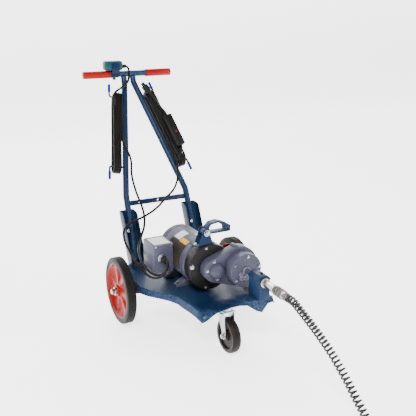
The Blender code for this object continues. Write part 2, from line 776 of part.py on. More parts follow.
def rotor():
    """Cast-cage core with its fan blades, on a shaft whose front end is cut as the pinion."""
    core = ring("rotor_core", ROTOR_R, SHAFT_R + TOUCH, *CORE, MOTOR_AXIS, "Y", 28)
    core = as_mesh(core)
    for index in range(6):
        turn = Matrix.Rotation(math.pi * index / 3, 4, "Y")
        blade = box("blade", (0.022, ahead(CORE[0] + 0.002), -0.0015),
                    (0.040, ahead(CORE[0] - 0.016), 0.0015))
        blade.data.transform(Matrix.Translation(MOTOR_AXIS) @ turn)
        core = join(core, blade)
    place(core, "steel")
    shaft = rod("rotor_shaft", (0, ahead(MOTOR_REAR + 0.006), SHAFT_Z),
                (0, ahead(GEAR_FACE[0] + 0.002), SHAFT_Z), SHAFT_R, 32)
    module = 2 * OFFSET / (TEETH_GEAR + TEETH_PINION)
    outline = gear_outline(TEETH_PINION, module, 0, (0, SHAFT_Z))
    place(join(shaft, prism("pinion", outline, "Y", ahead(GEAR_FACE[1]), ahead(GEAR_FACE[0]))), "steel")


def conduit_box():
    """Folded steel wiring box, saddle-cut to the shell, with its threaded gland."""
    low = (-BOX_OUT, ahead(BOX_Y[1]), BOX_Z[0])
    high = (-0.055, ahead(BOX_Y[0]), BOX_Z[1])
    wall = BOX_WALL
    body = box("conduit_box", low, high)
    saddle = rod("saddle", (0, 0.05, SHAFT_Z), (0, ahead(SHELL_END + 0.05), SHAFT_Z), MOTOR_R + 2 * TOUCH, 40)
    inside = box("inside", (low[0] + wall, low[1] + wall, low[2] + wall),
                 (-0.02, high[1] - wall, high[2] - wall))
    thread = rod("thread", (-GLAND_X, low[1] + 0.02, GLAND_Z), (-GLAND_X, low[1] - 0.02, GLAND_Z),
                 GLAND_R - 0.004 + TOUCH, 24)
    place(cut(body, inside, saddle, thread), "motor")
    face = BOX_Y[1] + TOUCH
    end = face + GLAND_LEN
    neck = GLAND_R - 0.004
    profile = [(0, end), (GLAND_R - 0.0015, end), (GLAND_R, end - 0.002), (GLAND_R, face), (neck, face),
               (neck, face - 0.010), (0, face - 0.010)]
    place(turned("cord_gland", profile, (-GLAND_X, 0, GLAND_Z), "Y", False, 24), "zinc")


# ---- reducer -------------------------------------------------------------------------------
def adapter():
    """Cast disc between the motor and the gear case, with a blind bore for the output shaft."""
    start, end = BELL_END + TOUCH, ADAPTER_END
    outline = [(ADAPTER_R - 0.002, end), (ADAPTER_R, end - 0.002), (ADAPTER_R, start),
               (ADAPTER_R - 0.008, start), (ADAPTER_R - 0.008, end - 0.012),
               (SHAFT_R + 0.004, end - 0.012), (SHAFT_R + 0.004, end)]
    place(turned("adapter_plate", outline, MOTOR_AXIS, "Y", True, 32), "charcoal")


def gear_sizes():
    module = 2 * OFFSET / (TEETH_GEAR + TEETH_PINION)
    large = module * TEETH_GEAR / 2 + module + TIP_PLAY
    small = module * TEETH_PINION / 2 + module + TIP_PLAY
    return module, large, small


def gear_housing():
    """Cast case round both gears, open towards the adapter, domed over the motor shaft's end."""
    _, large, small = gear_sizes()
    start, end = ADAPTER_END + TOUCH, CASE_END
    axes = (0, SHAFT_Z), (OFFSET, SHAFT_Z)
    outer = two_circles(small + CASE_WALL, axes[0], large + CASE_WALL, axes[1])
    inner = two_circles(small, axes[0], large, axes[1])
    body = prism("gear_housing", outer, "Y", ahead(end), ahead(start))
    hollow = prism("hollow", inner, "Y", ahead(end - 0.005), ahead(start - 0.01))
    window = rod("window", (OFFSET, ahead(end + 0.01), SHAFT_Z), (OFFSET, ahead(start), SHAFT_Z),
                 OUTPUT_R + WINDOW_PLAY, 32)
    tip = end + BOSS_LEN
    dome = [(0, tip), (BOSS_R * 0.55, tip - 0.002), (BOSS_R * 0.88, tip - 0.007), (BOSS_R, tip - 0.014),
            (BOSS_R, end - 0.002), (0, end - 0.002)]
    dome = turned("dome", dome, MOTOR_AXIS, "Y", False, 28)
    lug = rod("lug", (OFFSET - 0.012, ahead(end), SHAFT_Z + large + CASE_WALL),
              (OFFSET - 0.012, ahead(start + 0.004), SHAFT_Z + large + CASE_WALL), 0.008, 16)
    place(join(cut(body, hollow, window), dome, lug), "motor")


def gear_cover():
    """Turned drum on the case that carries the output shaft's middle."""
    start, end = CASE_END + TOUCH, COVER_END
    bore = OUTPUT_R + TOUCH
    outline = [(COVER_R - 0.002, end), (COVER_R, end - 0.002), (COVER_R, start), (COVER_R - 0.009, start),
               (COVER_R - 0.009, end - 0.006), (bore + 0.008, end - 0.006), (bore + 0.008, end - 0.022),
               (bore, end - 0.022), (bore, end)]
    place(turned("gear_cover", outline, OUTPUT_AXIS, "Y", True, 26), "motor")


def drive_gear():
    module, _, _ = gear_sizes()
    phase = math.pi + math.pi / TEETH_GEAR
    outline = gear_outline(TEETH_GEAR, module, phase, (OFFSET, SHAFT_Z))
    body = prism("drive_gear", outline, "Y", ahead(GEAR_FACE[1]), ahead(GEAR_FACE[0]))
    bore = rod("bore", (OFFSET, ahead(0.24), SHAFT_Z), (OFFSET, ahead(0.33), SHAFT_Z), OUTPUT_R + TOUCH, 24)
    place(cut(body, bore), "steel")


def output_shaft():
    place(rod("output_shaft", (OFFSET, ahead(ADAPTER_END + 0.001), SHAFT_Z),
              (OFFSET, ahead(OUTPUT_END), SHAFT_Z), OUTPUT_R, 24), "steel")


def bearing_block():
    """Welded pedestal on the deck's nose, bored for the flanged bush."""
    foot = DECK_TOP + NOSE_RISE + TOUCH
    start, end = BLOCK
    crown = 0.026
    left, right, shoulder = OFFSET - BLOCK_HALF, OFFSET + BLOCK_HALF, SHAFT_Z + 0.008
    outline = [(left, foot), (right, foot), (right, shoulder),
               *circle(crown, (OFFSET, SHAFT_Z), 0.35, math.pi - 0.35, 12), (left, shoulder)]
    body = prism("bearing_block", outline, "Y", ahead(end), ahead(start))
    bore = rod("bore", (OFFSET, ahead(start - 0.01), SHAFT_Z), (OFFSET, ahead(end + 0.01), SHAFT_Z),
               BUSH_R + TOUCH, 32)
    place(cut(body, bore), "navy")
    wide, thick = BUSH_FLANGE
    inner = OUTPUT_R + TOUCH
    outline = [(wide, end + TOUCH + thick), (wide, end + TOUCH), (BUSH_R, end + TOUCH), (BUSH_R, start),
               (inner, start), (inner, end + TOUCH + thick)]
    place(turned("bearing_bush", outline, OUTPUT_AXIS, "Y", True, 24), "brass")


def couplings():
    """Plated sleeve on the shaft, then the knurled holder that grips the cable's end."""
    start = BLOCK[1] + BUSH_FLANGE[1] + 2 * TOUCH
    inner = OUTPUT_R + TOUCH
    sleeve = [(0, COUPLING_END), (COUPLING_R - 0.002, COUPLING_END), (COUPLING_R, COUPLING_END - 0.002),
              (COUPLING_R, start), (inner, start), (inner, OUTPUT_END + TOUCH), (0, OUTPUT_END + TOUCH)]
    place(turned("shaft_coupling", sleeve, OUTPUT_AXIS, "Y", False, 20), "zinc")
    back = COUPLING_END + TOUCH
    socket = KNURL_END - 0.010
    holder = [(0, socket), (SOCKET_R, socket), (SOCKET_R, DRIVE_END), (CABLE_R, DRIVE_END),
              (CABLE_R, KNURL_END), (KNURL_R, KNURL_END - 0.002), (KNURL_R, back + 0.006),
              (COUPLING_R - 0.001, back), (0, back)]
    place(turned("cable_coupling", holder, OUTPUT_AXIS, "Y", False, 20), "charcoal")


# ---- lift handle ---------------------------------------------------------------------------
def lift_handle():
    """Loop handle on a saddle bolted over the adapter, turning on one pin."""
    low, high = LIFT_PLATE
    front, back = ahead(LIFT_Y[1]), ahead(LIFT_Y[0])
    seat = SHAFT_Z + ADAPTER_R + TOUCH
    pivot_x, pivot_z = LIFT_PIVOT
    base = box("lift_bracket", (low, front, seat), (high, back, seat + LIFT_BASE_T))
    ear = [(pivot_x - 0.030, seat + 0.001), (pivot_x + 0.024, seat + 0.001),
           *circle(LIFT_EAR_R, (pivot_x, pivot_z), -0.15, math.pi + 0.3, 12)]
    ears = [prism("ear", ear, "Y", y, y + LIFT_EAR_T) for y in (front, back - LIFT_EAR_T)]
    hole = rod("hole", (pivot_x, front - 0.01, pivot_z), (pivot_x, back + 0.01, pivot_z),
               LIFT_PIN_R + TOUCH, 20)
    place(cut(join(base, *ears), hole), "navy")
    place(rod("lift_pivot_bolt", (pivot_x, front - 0.004, pivot_z), (pivot_x, back + 0.004, pivot_z),
              LIFT_PIN_R, 20), "steel")
    near, far = front + LIFT_EAR_T + SLACK, back - LIFT_EAR_T - SLACK
    grip = prism("lift_handle", loop_outline(0), "Y", near, far)
    opening = prism("opening", loop_outline(LIFT_STRAP), "Y", near - 0.01, far + 0.01)
    hub = rod("hub", (pivot_x, near, pivot_z), (pivot_x, far, pivot_z), LIFT_HUB_R, 24)
    pin_hole = rod("pin_hole", (pivot_x, near - 0.01, pivot_z), (pivot_x, far + 0.01, pivot_z),
                   LIFT_PIN_R + TOUCH, 20)
    end_x, end_z = pivot_x + LIFT_LEN - LIFT_HUB_R, pivot_z + 0.001
    end_hole = rod("end_hole", (end_x, near - 0.01, end_z), (end_x, far + 0.01, end_z), 0.004, 16)
    place(cut(join(cut(grip, opening), hub), pin_hole, end_hole), "navy")


def loop_outline(inset):
    """Side outline of the loop: bowed top, nearly straight bottom, square end."""
    x, z = LIFT_PIVOT
    start, end = x + 0.004 + inset * 1.6, x + LIFT_LEN - inset * 3.2
    top, low = z + 0.036 - inset, z - 0.008 + inset
    return [(start, low), (end, low), (end, low + 0.022 - inset * 1.2), (end - 0.024 + inset, top - 0.008),
            (x + 0.048, top), (x + 0.022, top - 0.004), (start, z + 0.016)]


# ---- switch --------------------------------------------------------------------------------
def switch():
    """Cast switch box on a clamp round the handlebar; its lever looks back at the user."""
    wide, deep, tall = SWITCH_SIZE
    ring_r = BAR_R + CLAMP_WALL
    low_z = BAR_Z + ring_r + TOUCH
    left = CLAMP_GAP - GRIP_START
    right = left + CLAMP_W
    clamp = ring("switch_clamp", ring_r, BAR_R + TOUCH, left, right, (0, BAR_Y, BAR_Z), "X", 20)
    front = BAR_Y - deep / 2 - TOUCH
    plate = box("plate", (left, front - CLAMP_WALL, BAR_Z + 0.004), (right, front, low_z + tall * 0.8))
    shelf = box("shelf", (left, front - 0.001, BAR_Z + 0.006), (right, BAR_Y - BAR_R - 0.0005, BAR_Z + 0.010))
    tab = box("tab", (left + 0.010, BAR_Y - 0.004, BAR_Z - ring_r - 0.008),
              (right - 0.012, BAR_Y + 0.004, BAR_Z - ring_r + 0.001))
    place(join(clamp, plate, shelf, tab), "navy")
    body = box("switch_box", (SWITCH_X - wide / 2, BAR_Y - deep / 2, low_z),
               (SWITCH_X + wide / 2, BAR_Y + deep / 2, low_z + tall))
    edge = body.modifiers.new("round", "BEVEL")
    edge.width = 0.010
    edge.segments = 3
    middle = low_z + tall / 2
    rear = BAR_Y + deep / 2
    left, right = SWITCH_X - 0.011, SWITCH_X + 0.011
    pocket = box("pocket", (left, rear - 0.020, middle - 0.009), (right, rear + 0.01, middle + 0.009))
    place(cut(body, pocket), "teal")
    pivot = rear - TOGGLE_PIVOT_IN
    lever = rod("switch_toggle", (SWITCH_X, pivot, middle), (SWITCH_X, rear + TOGGLE_OUT, middle),
                TOGGLE_R, 16)
    trunnion = rod("trunnion", (left + TOUCH, pivot, middle), (right - TOUCH, pivot, middle), 0.005, 16)
    place(join(lever, trunnion), "black")


# ---- cords ---------------------------------------------------------------------------------
def hank(name, side):
    """Outer shape of a cord wound round an upright's two hooks: a flat ring with round ends."""
    high, low, down, outward, front = hank_frame(side)
    inner = HOOK_R + HANK_GAP
    outer = inner + HANK_T
    length = (low - high).length
    ends = []
    for radius in (outer, inner):
        ends.append(circle(radius, (0, 0), math.pi / 2, 3 * math.pi / 2, 10)
                    + circle(radius, (length, 0), -math.pi / 2, math.pi / 2, 10))
    body = prism(name, ends[0], "Z", -HANK_W / 2, HANK_W / 2)
    hollow = prism("hollow", ends[1], "Z", -HANK_W, HANK_W)
    body = cut(body, hollow)
    turn = Matrix((down, front, outward)).transposed().to_4x4()
    stand(body, Matrix.Translation(high) @ turn)
    place(body, "black")


CONTROL_TOP = [(-0.0262, 0.4976, 0.9120), (-0.0110, 0.4970, 0.9120), (-0.0030, 0.4860, 0.9070),
               (-0.0080, 0.4640, 0.8780), (-0.0220, 0.4430, 0.8520), (-0.0560, 0.4290, 0.8310),
               (-0.0884, 0.4232, 0.8099)]
CONTROL_LOW = [(-0.1024, 0.3097, 0.6330), (-0.0975, 0.2880, 0.6060), (-0.0900, 0.2580, 0.5640),
               (-0.0960, 0.2380, 0.5050), (-0.0930, 0.2000, 0.4400), (-0.0830, 0.1780, 0.3950),
               (-0.0780, 0.1650, 0.3600), (-0.0900, 0.1320, 0.3270), (-0.1250, 0.0800, 0.2980),
               (-0.1620, 0.0200, 0.2740), (-0.1780, -0.0450, 0.2500), (-0.1780, -0.1080, 0.2340),
               (-0.1650, -0.1530, 0.2290), (-0.1480, -0.1800, 0.2410), (-0.1380, -0.1860, 0.2580),
               (-0.1335, -0.1810, 0.2720), (-0.1330, -0.1740, 0.2764), (-0.1330, -0.1510, 0.2764)]
POWER_LOW = [(-0.1330, -0.1510, 0.2856), (-0.1330, -0.1740, 0.2856), (-0.1340, -0.1900, 0.2820),
             (-0.1410, -0.1980, 0.2640), (-0.1540, -0.1940, 0.2420), (-0.1730, -0.1680, 0.2240),
             (-0.1890, -0.1180, 0.2250), (-0.1990, -0.0550, 0.2460), (-0.2030, 0.0100, 0.2740),
             (-0.2020, 0.0640, 0.3060), (-0.1860, 0.1000, 0.3300), (-0.1500, 0.1230, 0.3430),
             (-0.0850, 0.1420, 0.3560), (-0.0250, 0.1560, 0.3790), (0.0220, 0.1680, 0.4130),
             (0.0600, 0.1840, 0.4340), (0.0850, 0.2040, 0.4560), (0.1020, 0.2250, 0.4790),
             (0.1110, 0.2470, 0.5060), (0.1144, 0.2683, 0.5379)]
POWER_TOP = [(0.0640, 0.4076, 0.8032), (0.0705, 0.4001, 0.7922), (0.0830, 0.3836, 0.7662),
             (0.0965, 0.3681, 0.7442), (0.1082, 0.3558, 0.7263), (0.1107, 0.3496, 0.7165)]


def cords():
    place(tube("control_cord_upper", smooth(CONTROL_TOP, 0.014), CORD_R), "black")
    hank("control_hank", -1)
    place(tube("control_cord_lower", smooth(CONTROL_LOW, 0.021), CORD_R), "black")
    place(tube("power_cord_lower", smooth(POWER_LOW, 0.021), CORD_R), "black")
    hank("power_hank", 1)
    place(tube("power_cord_upper", smooth(POWER_TOP, 0.014), CORD_R), "black")


def plug():
    """Moulded plug with its three blades, lying on the hank's top."""
    start, after = smooth(POWER_TOP, 0.014)[:2]
    way = (start - after).normalized()
    start = start + way * TOUCH
    up = Vector((0, 0, 1))
    body = turned("plug", [(0, PLUG_LEN), (PLUG_R, PLUG_LEN), (PLUG_R, PLUG_LEN * 0.45), (0.007, 0.004),
                           (0.006, 0), (0, 0)], (0, 0, 0), "Z", False, 20)
    body = as_mesh(body)
    for x, y in ((-0.006, 0.003), (0.006, 0.003), (0.0, -0.006)):
        blade = box("blade", (x - 0.0008, y - 0.003, PLUG_LEN - 0.002),
                    (x + 0.0008, y + 0.003, PLUG_LEN + 0.016))
        body = join(body, blade)
    turn = way.to_track_quat("Z", "Y").to_matrix().to_4x4()
    body.data.transform(Matrix.Translation(start) @ turn)
    place(body, "black")


def guard_frame():
    """Middle and directions of the shock guard that lies along the front of the right-hand hank."""
    high, low, down, outward, front = hank_frame(1)
    reach = HOOK_R + HANK_GAP + HANK_T + TOUCH + GUARD_SIZE[1] / 2
    middle = high.lerp(low, 0.62) + front * reach + outward * 0.012
    return middle, down, outward, front


def guard():
    """In-line shock guard block with its reset button on the face."""
    middle, down, outward, front = guard_frame()
    wide, thick, long = GUARD_SIZE
    turn = Matrix((outward, down, front)).transposed().to_4x4()
    where = Matrix.Translation(middle) @ turn
    body = box("shock_guard", (-wide / 2, -long / 2, -thick / 2), (wide / 2, long / 2, thick / 2))
    edge = body.modifiers.new("round", "BEVEL")
    edge.width = 0.005
    edge.segments = 2
    face = thick / 2
    floor = face - 0.007
    well = rod("well", (0, BUTTON_AT, floor), (0, BUTTON_AT, face + 0.01), BUTTON_R + TOUCH, 20)
    body = cut(body, well)
    stand(body, where)
    place(body, "black")
    button = rod("reset_button", (0, BUTTON_AT, floor + BUTTON_TRAVEL), (0, BUTTON_AT, face + 0.0020),
                 BUTTON_R, 20)
    stand(button, where)
    place(button, "red")


CABLE_PATH = [(OFFSET, -0.6078, 0.267), (OFFSET, -0.636, 0.2670), (OFFSET, -0.675, 0.2540),
              (OFFSET, -0.725, 0.2355), (OFFSET, -0.780, 0.2130), (OFFSET, -0.840, 0.1830),
              (OFFSET, -0.900, 0.1440),
              (OFFSET, -0.960, 0.0980), (OFFSET, -1.020, 0.0560), (OFFSET, -1.090, 0.0230),
              (OFFSET, -1.160, 0.0150), (OFFSET, -1.225, 0.0148)]


def drain_cable():
    """Open-wound cable section: down to the floor, then coiled, with its end coupling."""
    place(tube("drain_cable", smooth(CABLE_PATH, 0.034), CABLE_R, 2), "steel")
    low, high = 0.0008, 2 * CABLE_R + 0.0012
    outer, inner = COIL_MEAN_R + 2 * CABLE_R, COIL_MEAN_R - 2 * CABLE_R
    into = math.sqrt(outer ** 2 - COIL_MEAN_R ** 2)
    centre = (OFFSET + COIL_MEAN_R + CABLE_R, CABLE_PATH[-1][1] - into - 2 * TOUCH, 0)
    place(ring("drain_coil", outer, inner, low, high, centre, "Z", 36), "steel")
    inside = math.sqrt((inner - CABLE_R - TOUCH) ** 2 - (END_FITTING / 2) ** 2)
    start = (centre[0] - inside, centre[1] + END_FITTING / 2, low + CABLE_R)
    end = (start[0], start[1] - END_FITTING, start[2])
    place(rod("drain_end_coupling", start, end, CABLE_R, 20), "charcoal")


def build():
    for side, label in ((-1, "left"), (1, "right")):
        wheel(side, label)
    axle()
    axle_channel()
    deck()
    caster()
    uprights()
    handlebar()
    cross_brace()
    brackets()
    hooks()
    motor_shell()
    bell("motor_rear_bell", MOTOR_REAR, SHELL_START - TOUCH)
    bell("motor_front_bell", BELL_END, SHELL_END + TOUCH)
    bearing("motor_bearing_rear", MOTOR_REAR, SHELL_START, MOTOR_AXIS)
    bearing("motor_bearing_front", BELL_END, SHELL_END, MOTOR_AXIS)
    stator()
    rotor()
    conduit_box()
    adapter()
    gear_housing()
    gear_cover()
    drive_gear()
    output_shaft()
    bearing_block()
    couplings()
    lift_handle()
    switch()
    cords()
    plug()
    guard()
    drain_cable()


build()
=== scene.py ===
"""Looks of a wheeled electric drain-cleaning machine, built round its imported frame."""
import json
import math

import bmesh
import bpy
from mathutils import Matrix, Vector


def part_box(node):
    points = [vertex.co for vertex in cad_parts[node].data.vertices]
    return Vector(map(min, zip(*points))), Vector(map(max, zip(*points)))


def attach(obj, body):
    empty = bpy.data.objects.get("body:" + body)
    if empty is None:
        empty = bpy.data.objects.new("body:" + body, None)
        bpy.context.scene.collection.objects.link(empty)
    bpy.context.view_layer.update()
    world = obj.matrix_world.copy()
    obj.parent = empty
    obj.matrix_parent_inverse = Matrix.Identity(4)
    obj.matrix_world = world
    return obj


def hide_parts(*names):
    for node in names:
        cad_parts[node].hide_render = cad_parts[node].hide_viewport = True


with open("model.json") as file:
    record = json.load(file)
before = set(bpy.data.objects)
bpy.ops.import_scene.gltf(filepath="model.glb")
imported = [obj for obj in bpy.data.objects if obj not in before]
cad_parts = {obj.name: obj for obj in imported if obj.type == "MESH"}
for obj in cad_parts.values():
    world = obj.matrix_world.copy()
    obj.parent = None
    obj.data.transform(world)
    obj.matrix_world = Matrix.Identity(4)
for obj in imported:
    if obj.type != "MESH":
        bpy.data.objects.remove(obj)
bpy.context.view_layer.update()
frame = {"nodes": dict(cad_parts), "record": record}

# ---- camera, floor and light ---------------------------------------------------------------
# A low three-quarter view from the front left, over a plain pale floor. Three soft panels and
# an even sky light it, with the strongest one high on the left.
camera = bpy.data.objects.new("camera", bpy.data.cameras.new("camera"))
camera.data.lens = 57.46
camera.location = (-1.0264, -2.1687, 1.1536)
looks_at = Vector((0.1258, 0.0352, 0.3988))
camera.rotation_euler = (looks_at - camera.location).to_track_quat("-Z", "Y").to_euler()
bpy.context.scene.collection.objects.link(camera)
bpy.context.scene.camera = camera


def add_node(tree, kind, inputs=(), **settings):
    """A shader or geometry node, with its settings, and its inputs linked or given a value."""
    made = tree.nodes.new(kind)
    for name, value in settings.items():
        setattr(made, name, value)
    for name, value in dict(inputs).items():
        if isinstance(value, bpy.types.NodeSocket):
            tree.links.new(value, made.inputs[name])
        else:
            made.inputs[name].default_value = value
    return made


def soft_panel(name, place, size, watts):
    """A square area light that faces the machine."""
    panel = bpy.data.objects.new(name, bpy.data.lights.new(name, "AREA"))
    panel.data.size = size
    panel.data.energy = watts
    panel.location = place
    panel.rotation_euler = (Vector((0, 0, 0.4)) - panel.location).to_track_quat("-Z", "Y").to_euler()
    bpy.context.scene.collection.objects.link(panel)


soft_panel("key_panel", (-1.6, -2.4, 3.0), 0.8, 150)
soft_panel("fill_panel", (2.6, -1.8, 2.0), 0.9, 55)
soft_panel("rear_panel", (0.6, 2.4, 2.8), 1.0, 60)
sky = bpy.data.worlds.new("sky")
sky.use_nodes = True
sky.node_tree.nodes["Background"].inputs["Color"].default_value = (1.0, 1.0, 1.0, 1)
sky.node_tree.nodes["Background"].inputs["Strength"].default_value = 0.65
bpy.context.scene.world = sky

FLOOR_FROM = -8.0
FLOOR_TO = 3.6
FLOOR_BEND = 1.4
WALL_TOP = 9.0
HALF_FLOOR = 9
floor_shape = bmesh.new()
bends = [math.radians(degrees) for degrees in range(0, 91, 10)]
sweep = [(FLOOR_FROM, 0.0)]
sweep += [(FLOOR_TO + FLOOR_BEND * math.sin(a), FLOOR_BEND - FLOOR_BEND * math.cos(a)) for a in bends]
sweep += [(FLOOR_TO + FLOOR_BEND, WALL_TOP)]
edge_rows = [[floor_shape.verts.new((x, y, z)) for x in (-HALF_FLOOR, HALF_FLOOR)] for y, z in sweep]
for near, far in zip(edge_rows, edge_rows[1:]):
    floor_shape.faces.new((near[0], near[1], far[1], far[0]))
floor_mesh = bpy.data.meshes.new("floor")
floor_shape.to_mesh(floor_mesh)
floor_shape.free()
floor_mesh.shade_smooth()
floor = bpy.data.objects.new("floor", floor_mesh)
floor_coat = bpy.data.materials.new("pale_floor")
floor_coat.use_nodes = True
floor_grain = add_node(floor_coat.node_tree, "ShaderNodeTexNoise", {"Scale": 14.0, "Detail": 3.0})
floor_spread = add_node(floor_coat.node_tree, "ShaderNodeMapRange",
                        {"Value": floor_grain.outputs["Fac"], "To Min": 0.62, "To Max": 0.72})
floor_shader = floor_coat.node_tree.nodes["Principled BSDF"]
floor_shader.inputs["Base Color"].default_value = (0.93, 0.93, 0.93, 1)
floor_shader.inputs["Emission Color"].default_value = (1.0, 1.0, 1.0, 1)
floor_shader.inputs["Emission Strength"].default_value = 2.4
floor_coat.node_tree.links.new(floor_spread.outputs["Result"], floor_shader.inputs["Roughness"])
floor.data.materials.append(floor_coat)
bpy.context.scene.collection.objects.link(floor)

# ---- control cord and power cord -----------------------------------------------------------
# Two round rubber-jacketed cords, 9 mm thick. Each is wound round the two hooks of one upright;
# the control cord runs from the switch to the motor's wiring box, the power cord from the box
# to its plug. Routes are measured from the axle's middle on the floor.
CORD_WIDE = 0.009
TURN_OUT = 0.0247         # radius of a turn at the hooks, outer layer and inner layer
TURN_IN = 0.0167
TURN_TOP = 0.0087         # the turns hang from the upper hook, so their middle sits below it
SIDE_STEP = 0.008         # one turn moves across by one cord
HOOK_HIGH = (0.0728, 0.4497, 0.7887)
HOOK_LOW = (0.1403, 0.2856, 0.5337)
axle_low, axle_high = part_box("axle")
set_back = (axle_low.y + axle_high.y) / 2


def at(x, y, z):
    """A point measured from the axle's middle on the floor, in the frame's own coordinates."""
    return Vector((x, y + set_back, z))


def hank_axes(side):
    """Upper and lower hook, and the down, outward and front directions of one hank."""
    high, low = at(*HOOK_HIGH), at(*HOOK_LOW)
    down = (low - high).normalized()
    outward = Vector((1, 0, 0))
    outward = (outward - down * outward.dot(down)).normalized()
    front = down.cross(outward)
    mirror = Matrix.Diagonal((side, 1, 1))
    return [mirror @ item for item in (high, low, down, outward, front)]


def one_turn(length, radius):
    """(down, front) places of one turn round both hooks, starting down the front."""
    arc = [math.radians(90 - 30 * step) for step in range(6)]
    straight = length - TURN_TOP
    down_front = [(TURN_TOP + straight * step / 5, radius) for step in range(5)]
    bottom = [(length + radius * math.cos(a), radius * math.sin(a)) for a in arc]
    up_back = [(length - straight * step / 5, -radius) for step in range(5)]
    top = [(TURN_TOP - radius * math.cos(a), -radius * math.sin(a)) for a in arc]
    return down_front + bottom + up_back + top


def wound(side, layers, upward):
    """Points of all the turns; each layer is (radius, first offset, last offset, turns)."""
    high, low, down, outward, front = hank_axes(side)
    length = (low - high).length
    points = []
    for radius, first, last, turns in layers:
        lap = one_turn(length, radius)
        if upward:
            lap = lap[5::-1] + lap[:5:-1]
        total = turns * len(lap)
        for step in range(total):
            along, ahead = lap[step % len(lap)]
            offset = first + (last - first) * step / total
            loose = 0.0011 * math.sin(step * 1.7 + first * 300)
            points.append(high + down * along + front * (ahead + loose) + outward * offset)
    return points


def run_of(route):
    """A route's points in the frame's own coordinates."""
    return [at(*point) for point in route]


def cord_curve(name, points, diameter, finish):
    """One smooth open spline through the points, with a round section and closed ends."""
    curve = bpy.data.curves.new(name, "CURVE")
    curve.dimensions = "3D"
    curve.bevel_depth = diameter / 2
    curve.bevel_resolution = 3
    curve.resolution_u = 5
    curve.use_fill_caps = True
    spline = curve.splines.new("BEZIER")
    spline.bezier_points.add(len(points) - 1)
    for knot, point in zip(spline.bezier_points, points):
        knot.co = point
        knot.handle_left_type = knot.handle_right_type = "AUTO"
    curve.materials.append(finish)
    cord = bpy.data.objects.new(name, curve)
    bpy.context.scene.collection.objects.link(cord)
    return cord


def maths(tree, operation, *values, **settings):
    """The result of an arithmetic node on sockets or numbers."""
    inputs = dict(enumerate(values))
    return add_node(tree, "ShaderNodeMath", inputs, operation=operation, **settings).outputs[0]


def skin_group():
    """Shared finish: blotchy colour, a paler tone on worn edges, and a fine cast or moulded grain."""
    tree = bpy.data.node_groups.new("surface skin", "ShaderNodeTree")
    for name in ("Colour", "Worn Colour"):
        tree.interface.new_socket(name, in_out="INPUT", socket_type="NodeSocketColor")
    for name in ("Wear", "Blotch Scale", "Blotch", "Grain Scale", "Grain Depth", "Roughness"):
        tree.interface.new_socket(name, in_out="INPUT", socket_type="NodeSocketFloat")
    for name, kind in (("Colour", "Color"), ("Roughness", "Float"), ("Normal", "Vector")):
        tree.interface.new_socket(name, in_out="OUTPUT", socket_type="NodeSocket" + kind)
    given = add_node(tree, "NodeGroupInput").outputs
    place = add_node(tree, "ShaderNodeTexCoord").outputs["Object"]
    blotch = add_node(tree, "ShaderNodeTexNoise",
                      {"Vector": place, "Scale": given["Blotch Scale"], "Detail": 4.0}).outputs["Fac"]
    centred = maths(tree, "SUBTRACT", blotch, 0.5)
    shift = maths(tree, "MULTIPLY", centred, given["Blotch"])
    bright = maths(tree, "ADD", shift, 1.0)
    toned = add_node(tree, "ShaderNodeHueSaturation",
                     {"Color": given["Colour"], "Value": bright}).outputs["Color"]
    edge = add_node(tree, "ShaderNodeAttribute", attribute_name="edge").outputs["Fac"]
    chips = add_node(tree, "ShaderNodeTexNoise", {"Vector": place, "Scale": 160.0}).outputs["Fac"]
    chips = add_node(tree, "ShaderNodeMapRange",
                     {"Value": chips, "From Min": 0.35, "From Max": 0.65}).outputs["Result"]
    rubbed = maths(tree, "MULTIPLY", edge, chips)
    rubbed = maths(tree, "MULTIPLY", rubbed, given["Wear"])
    colour = add_node(tree, "ShaderNodeMix", {"Factor": rubbed, 6: toned, 7: given["Worn Colour"]},
                      data_type="RGBA").outputs[2]
    uneven = maths(tree, "MULTIPLY", centred, 0.35)
    rough = maths(tree, "ADD", given["Roughness"], uneven, use_clamp=True)
    grain = add_node(tree, "ShaderNodeTexNoise",
                     {"Vector": place, "Scale": given["Grain Scale"], "Detail": 2.0}).outputs["Fac"]
    bump = add_node(tree, "ShaderNodeBump", {"Height": grain, "Distance": given["Grain Depth"]})
    add_node(tree, "NodeGroupOutput", {"Colour": colour, "Roughness": rough,
                                       "Normal": bump.outputs["Normal"]})
    return tree


surface_skin = skin_group()


def coat(name, colour, worn, roughness, wear=0.5, blotch=(7.0, 0.5), grain=(500.0, 0.0002),
         metallic=0.0, clear=0.0):
    """A finish: its colour and worn colour, roughness, and the shared skin's amounts."""
    made = bpy.data.materials.new(name)
    made.use_nodes = True
    tree = made.node_tree
    skin = add_node(tree, "ShaderNodeGroup", node_tree=surface_skin)
    values = {"Colour": (*colour, 1), "Worn Colour": (*worn, 1), "Wear": wear,
              "Blotch Scale": blotch[0], "Blotch": blotch[1], "Grain Scale": grain[0],
              "Grain Depth": grain[1], "Roughness": roughness}
    for label, value in values.items():
        skin.inputs[label].default_value = value
    shader = tree.nodes["Principled BSDF"]
    for source, target in (("Colour", "Base Color"), ("Roughness", "Roughness"), ("Normal", "Normal")):
        tree.links.new(skin.outputs[source], shader.inputs[target])
    shader.inputs["Metallic"].default_value = metallic
    shader.inputs["Specular IOR Level"].default_value = 0.5 if metallic else 0.12
    shader.inputs["Coat Weight"].default_value = clear
    shader.inputs["Coat Roughness"].default_value = 0.12
    return made


jacket = coat("cord_jacket", (0.006, 0.0048, 0.004), (0.03, 0.026, 0.024), 0.40, 0.2,
              (30.0, 0.7), (1400.0, 0.0001))

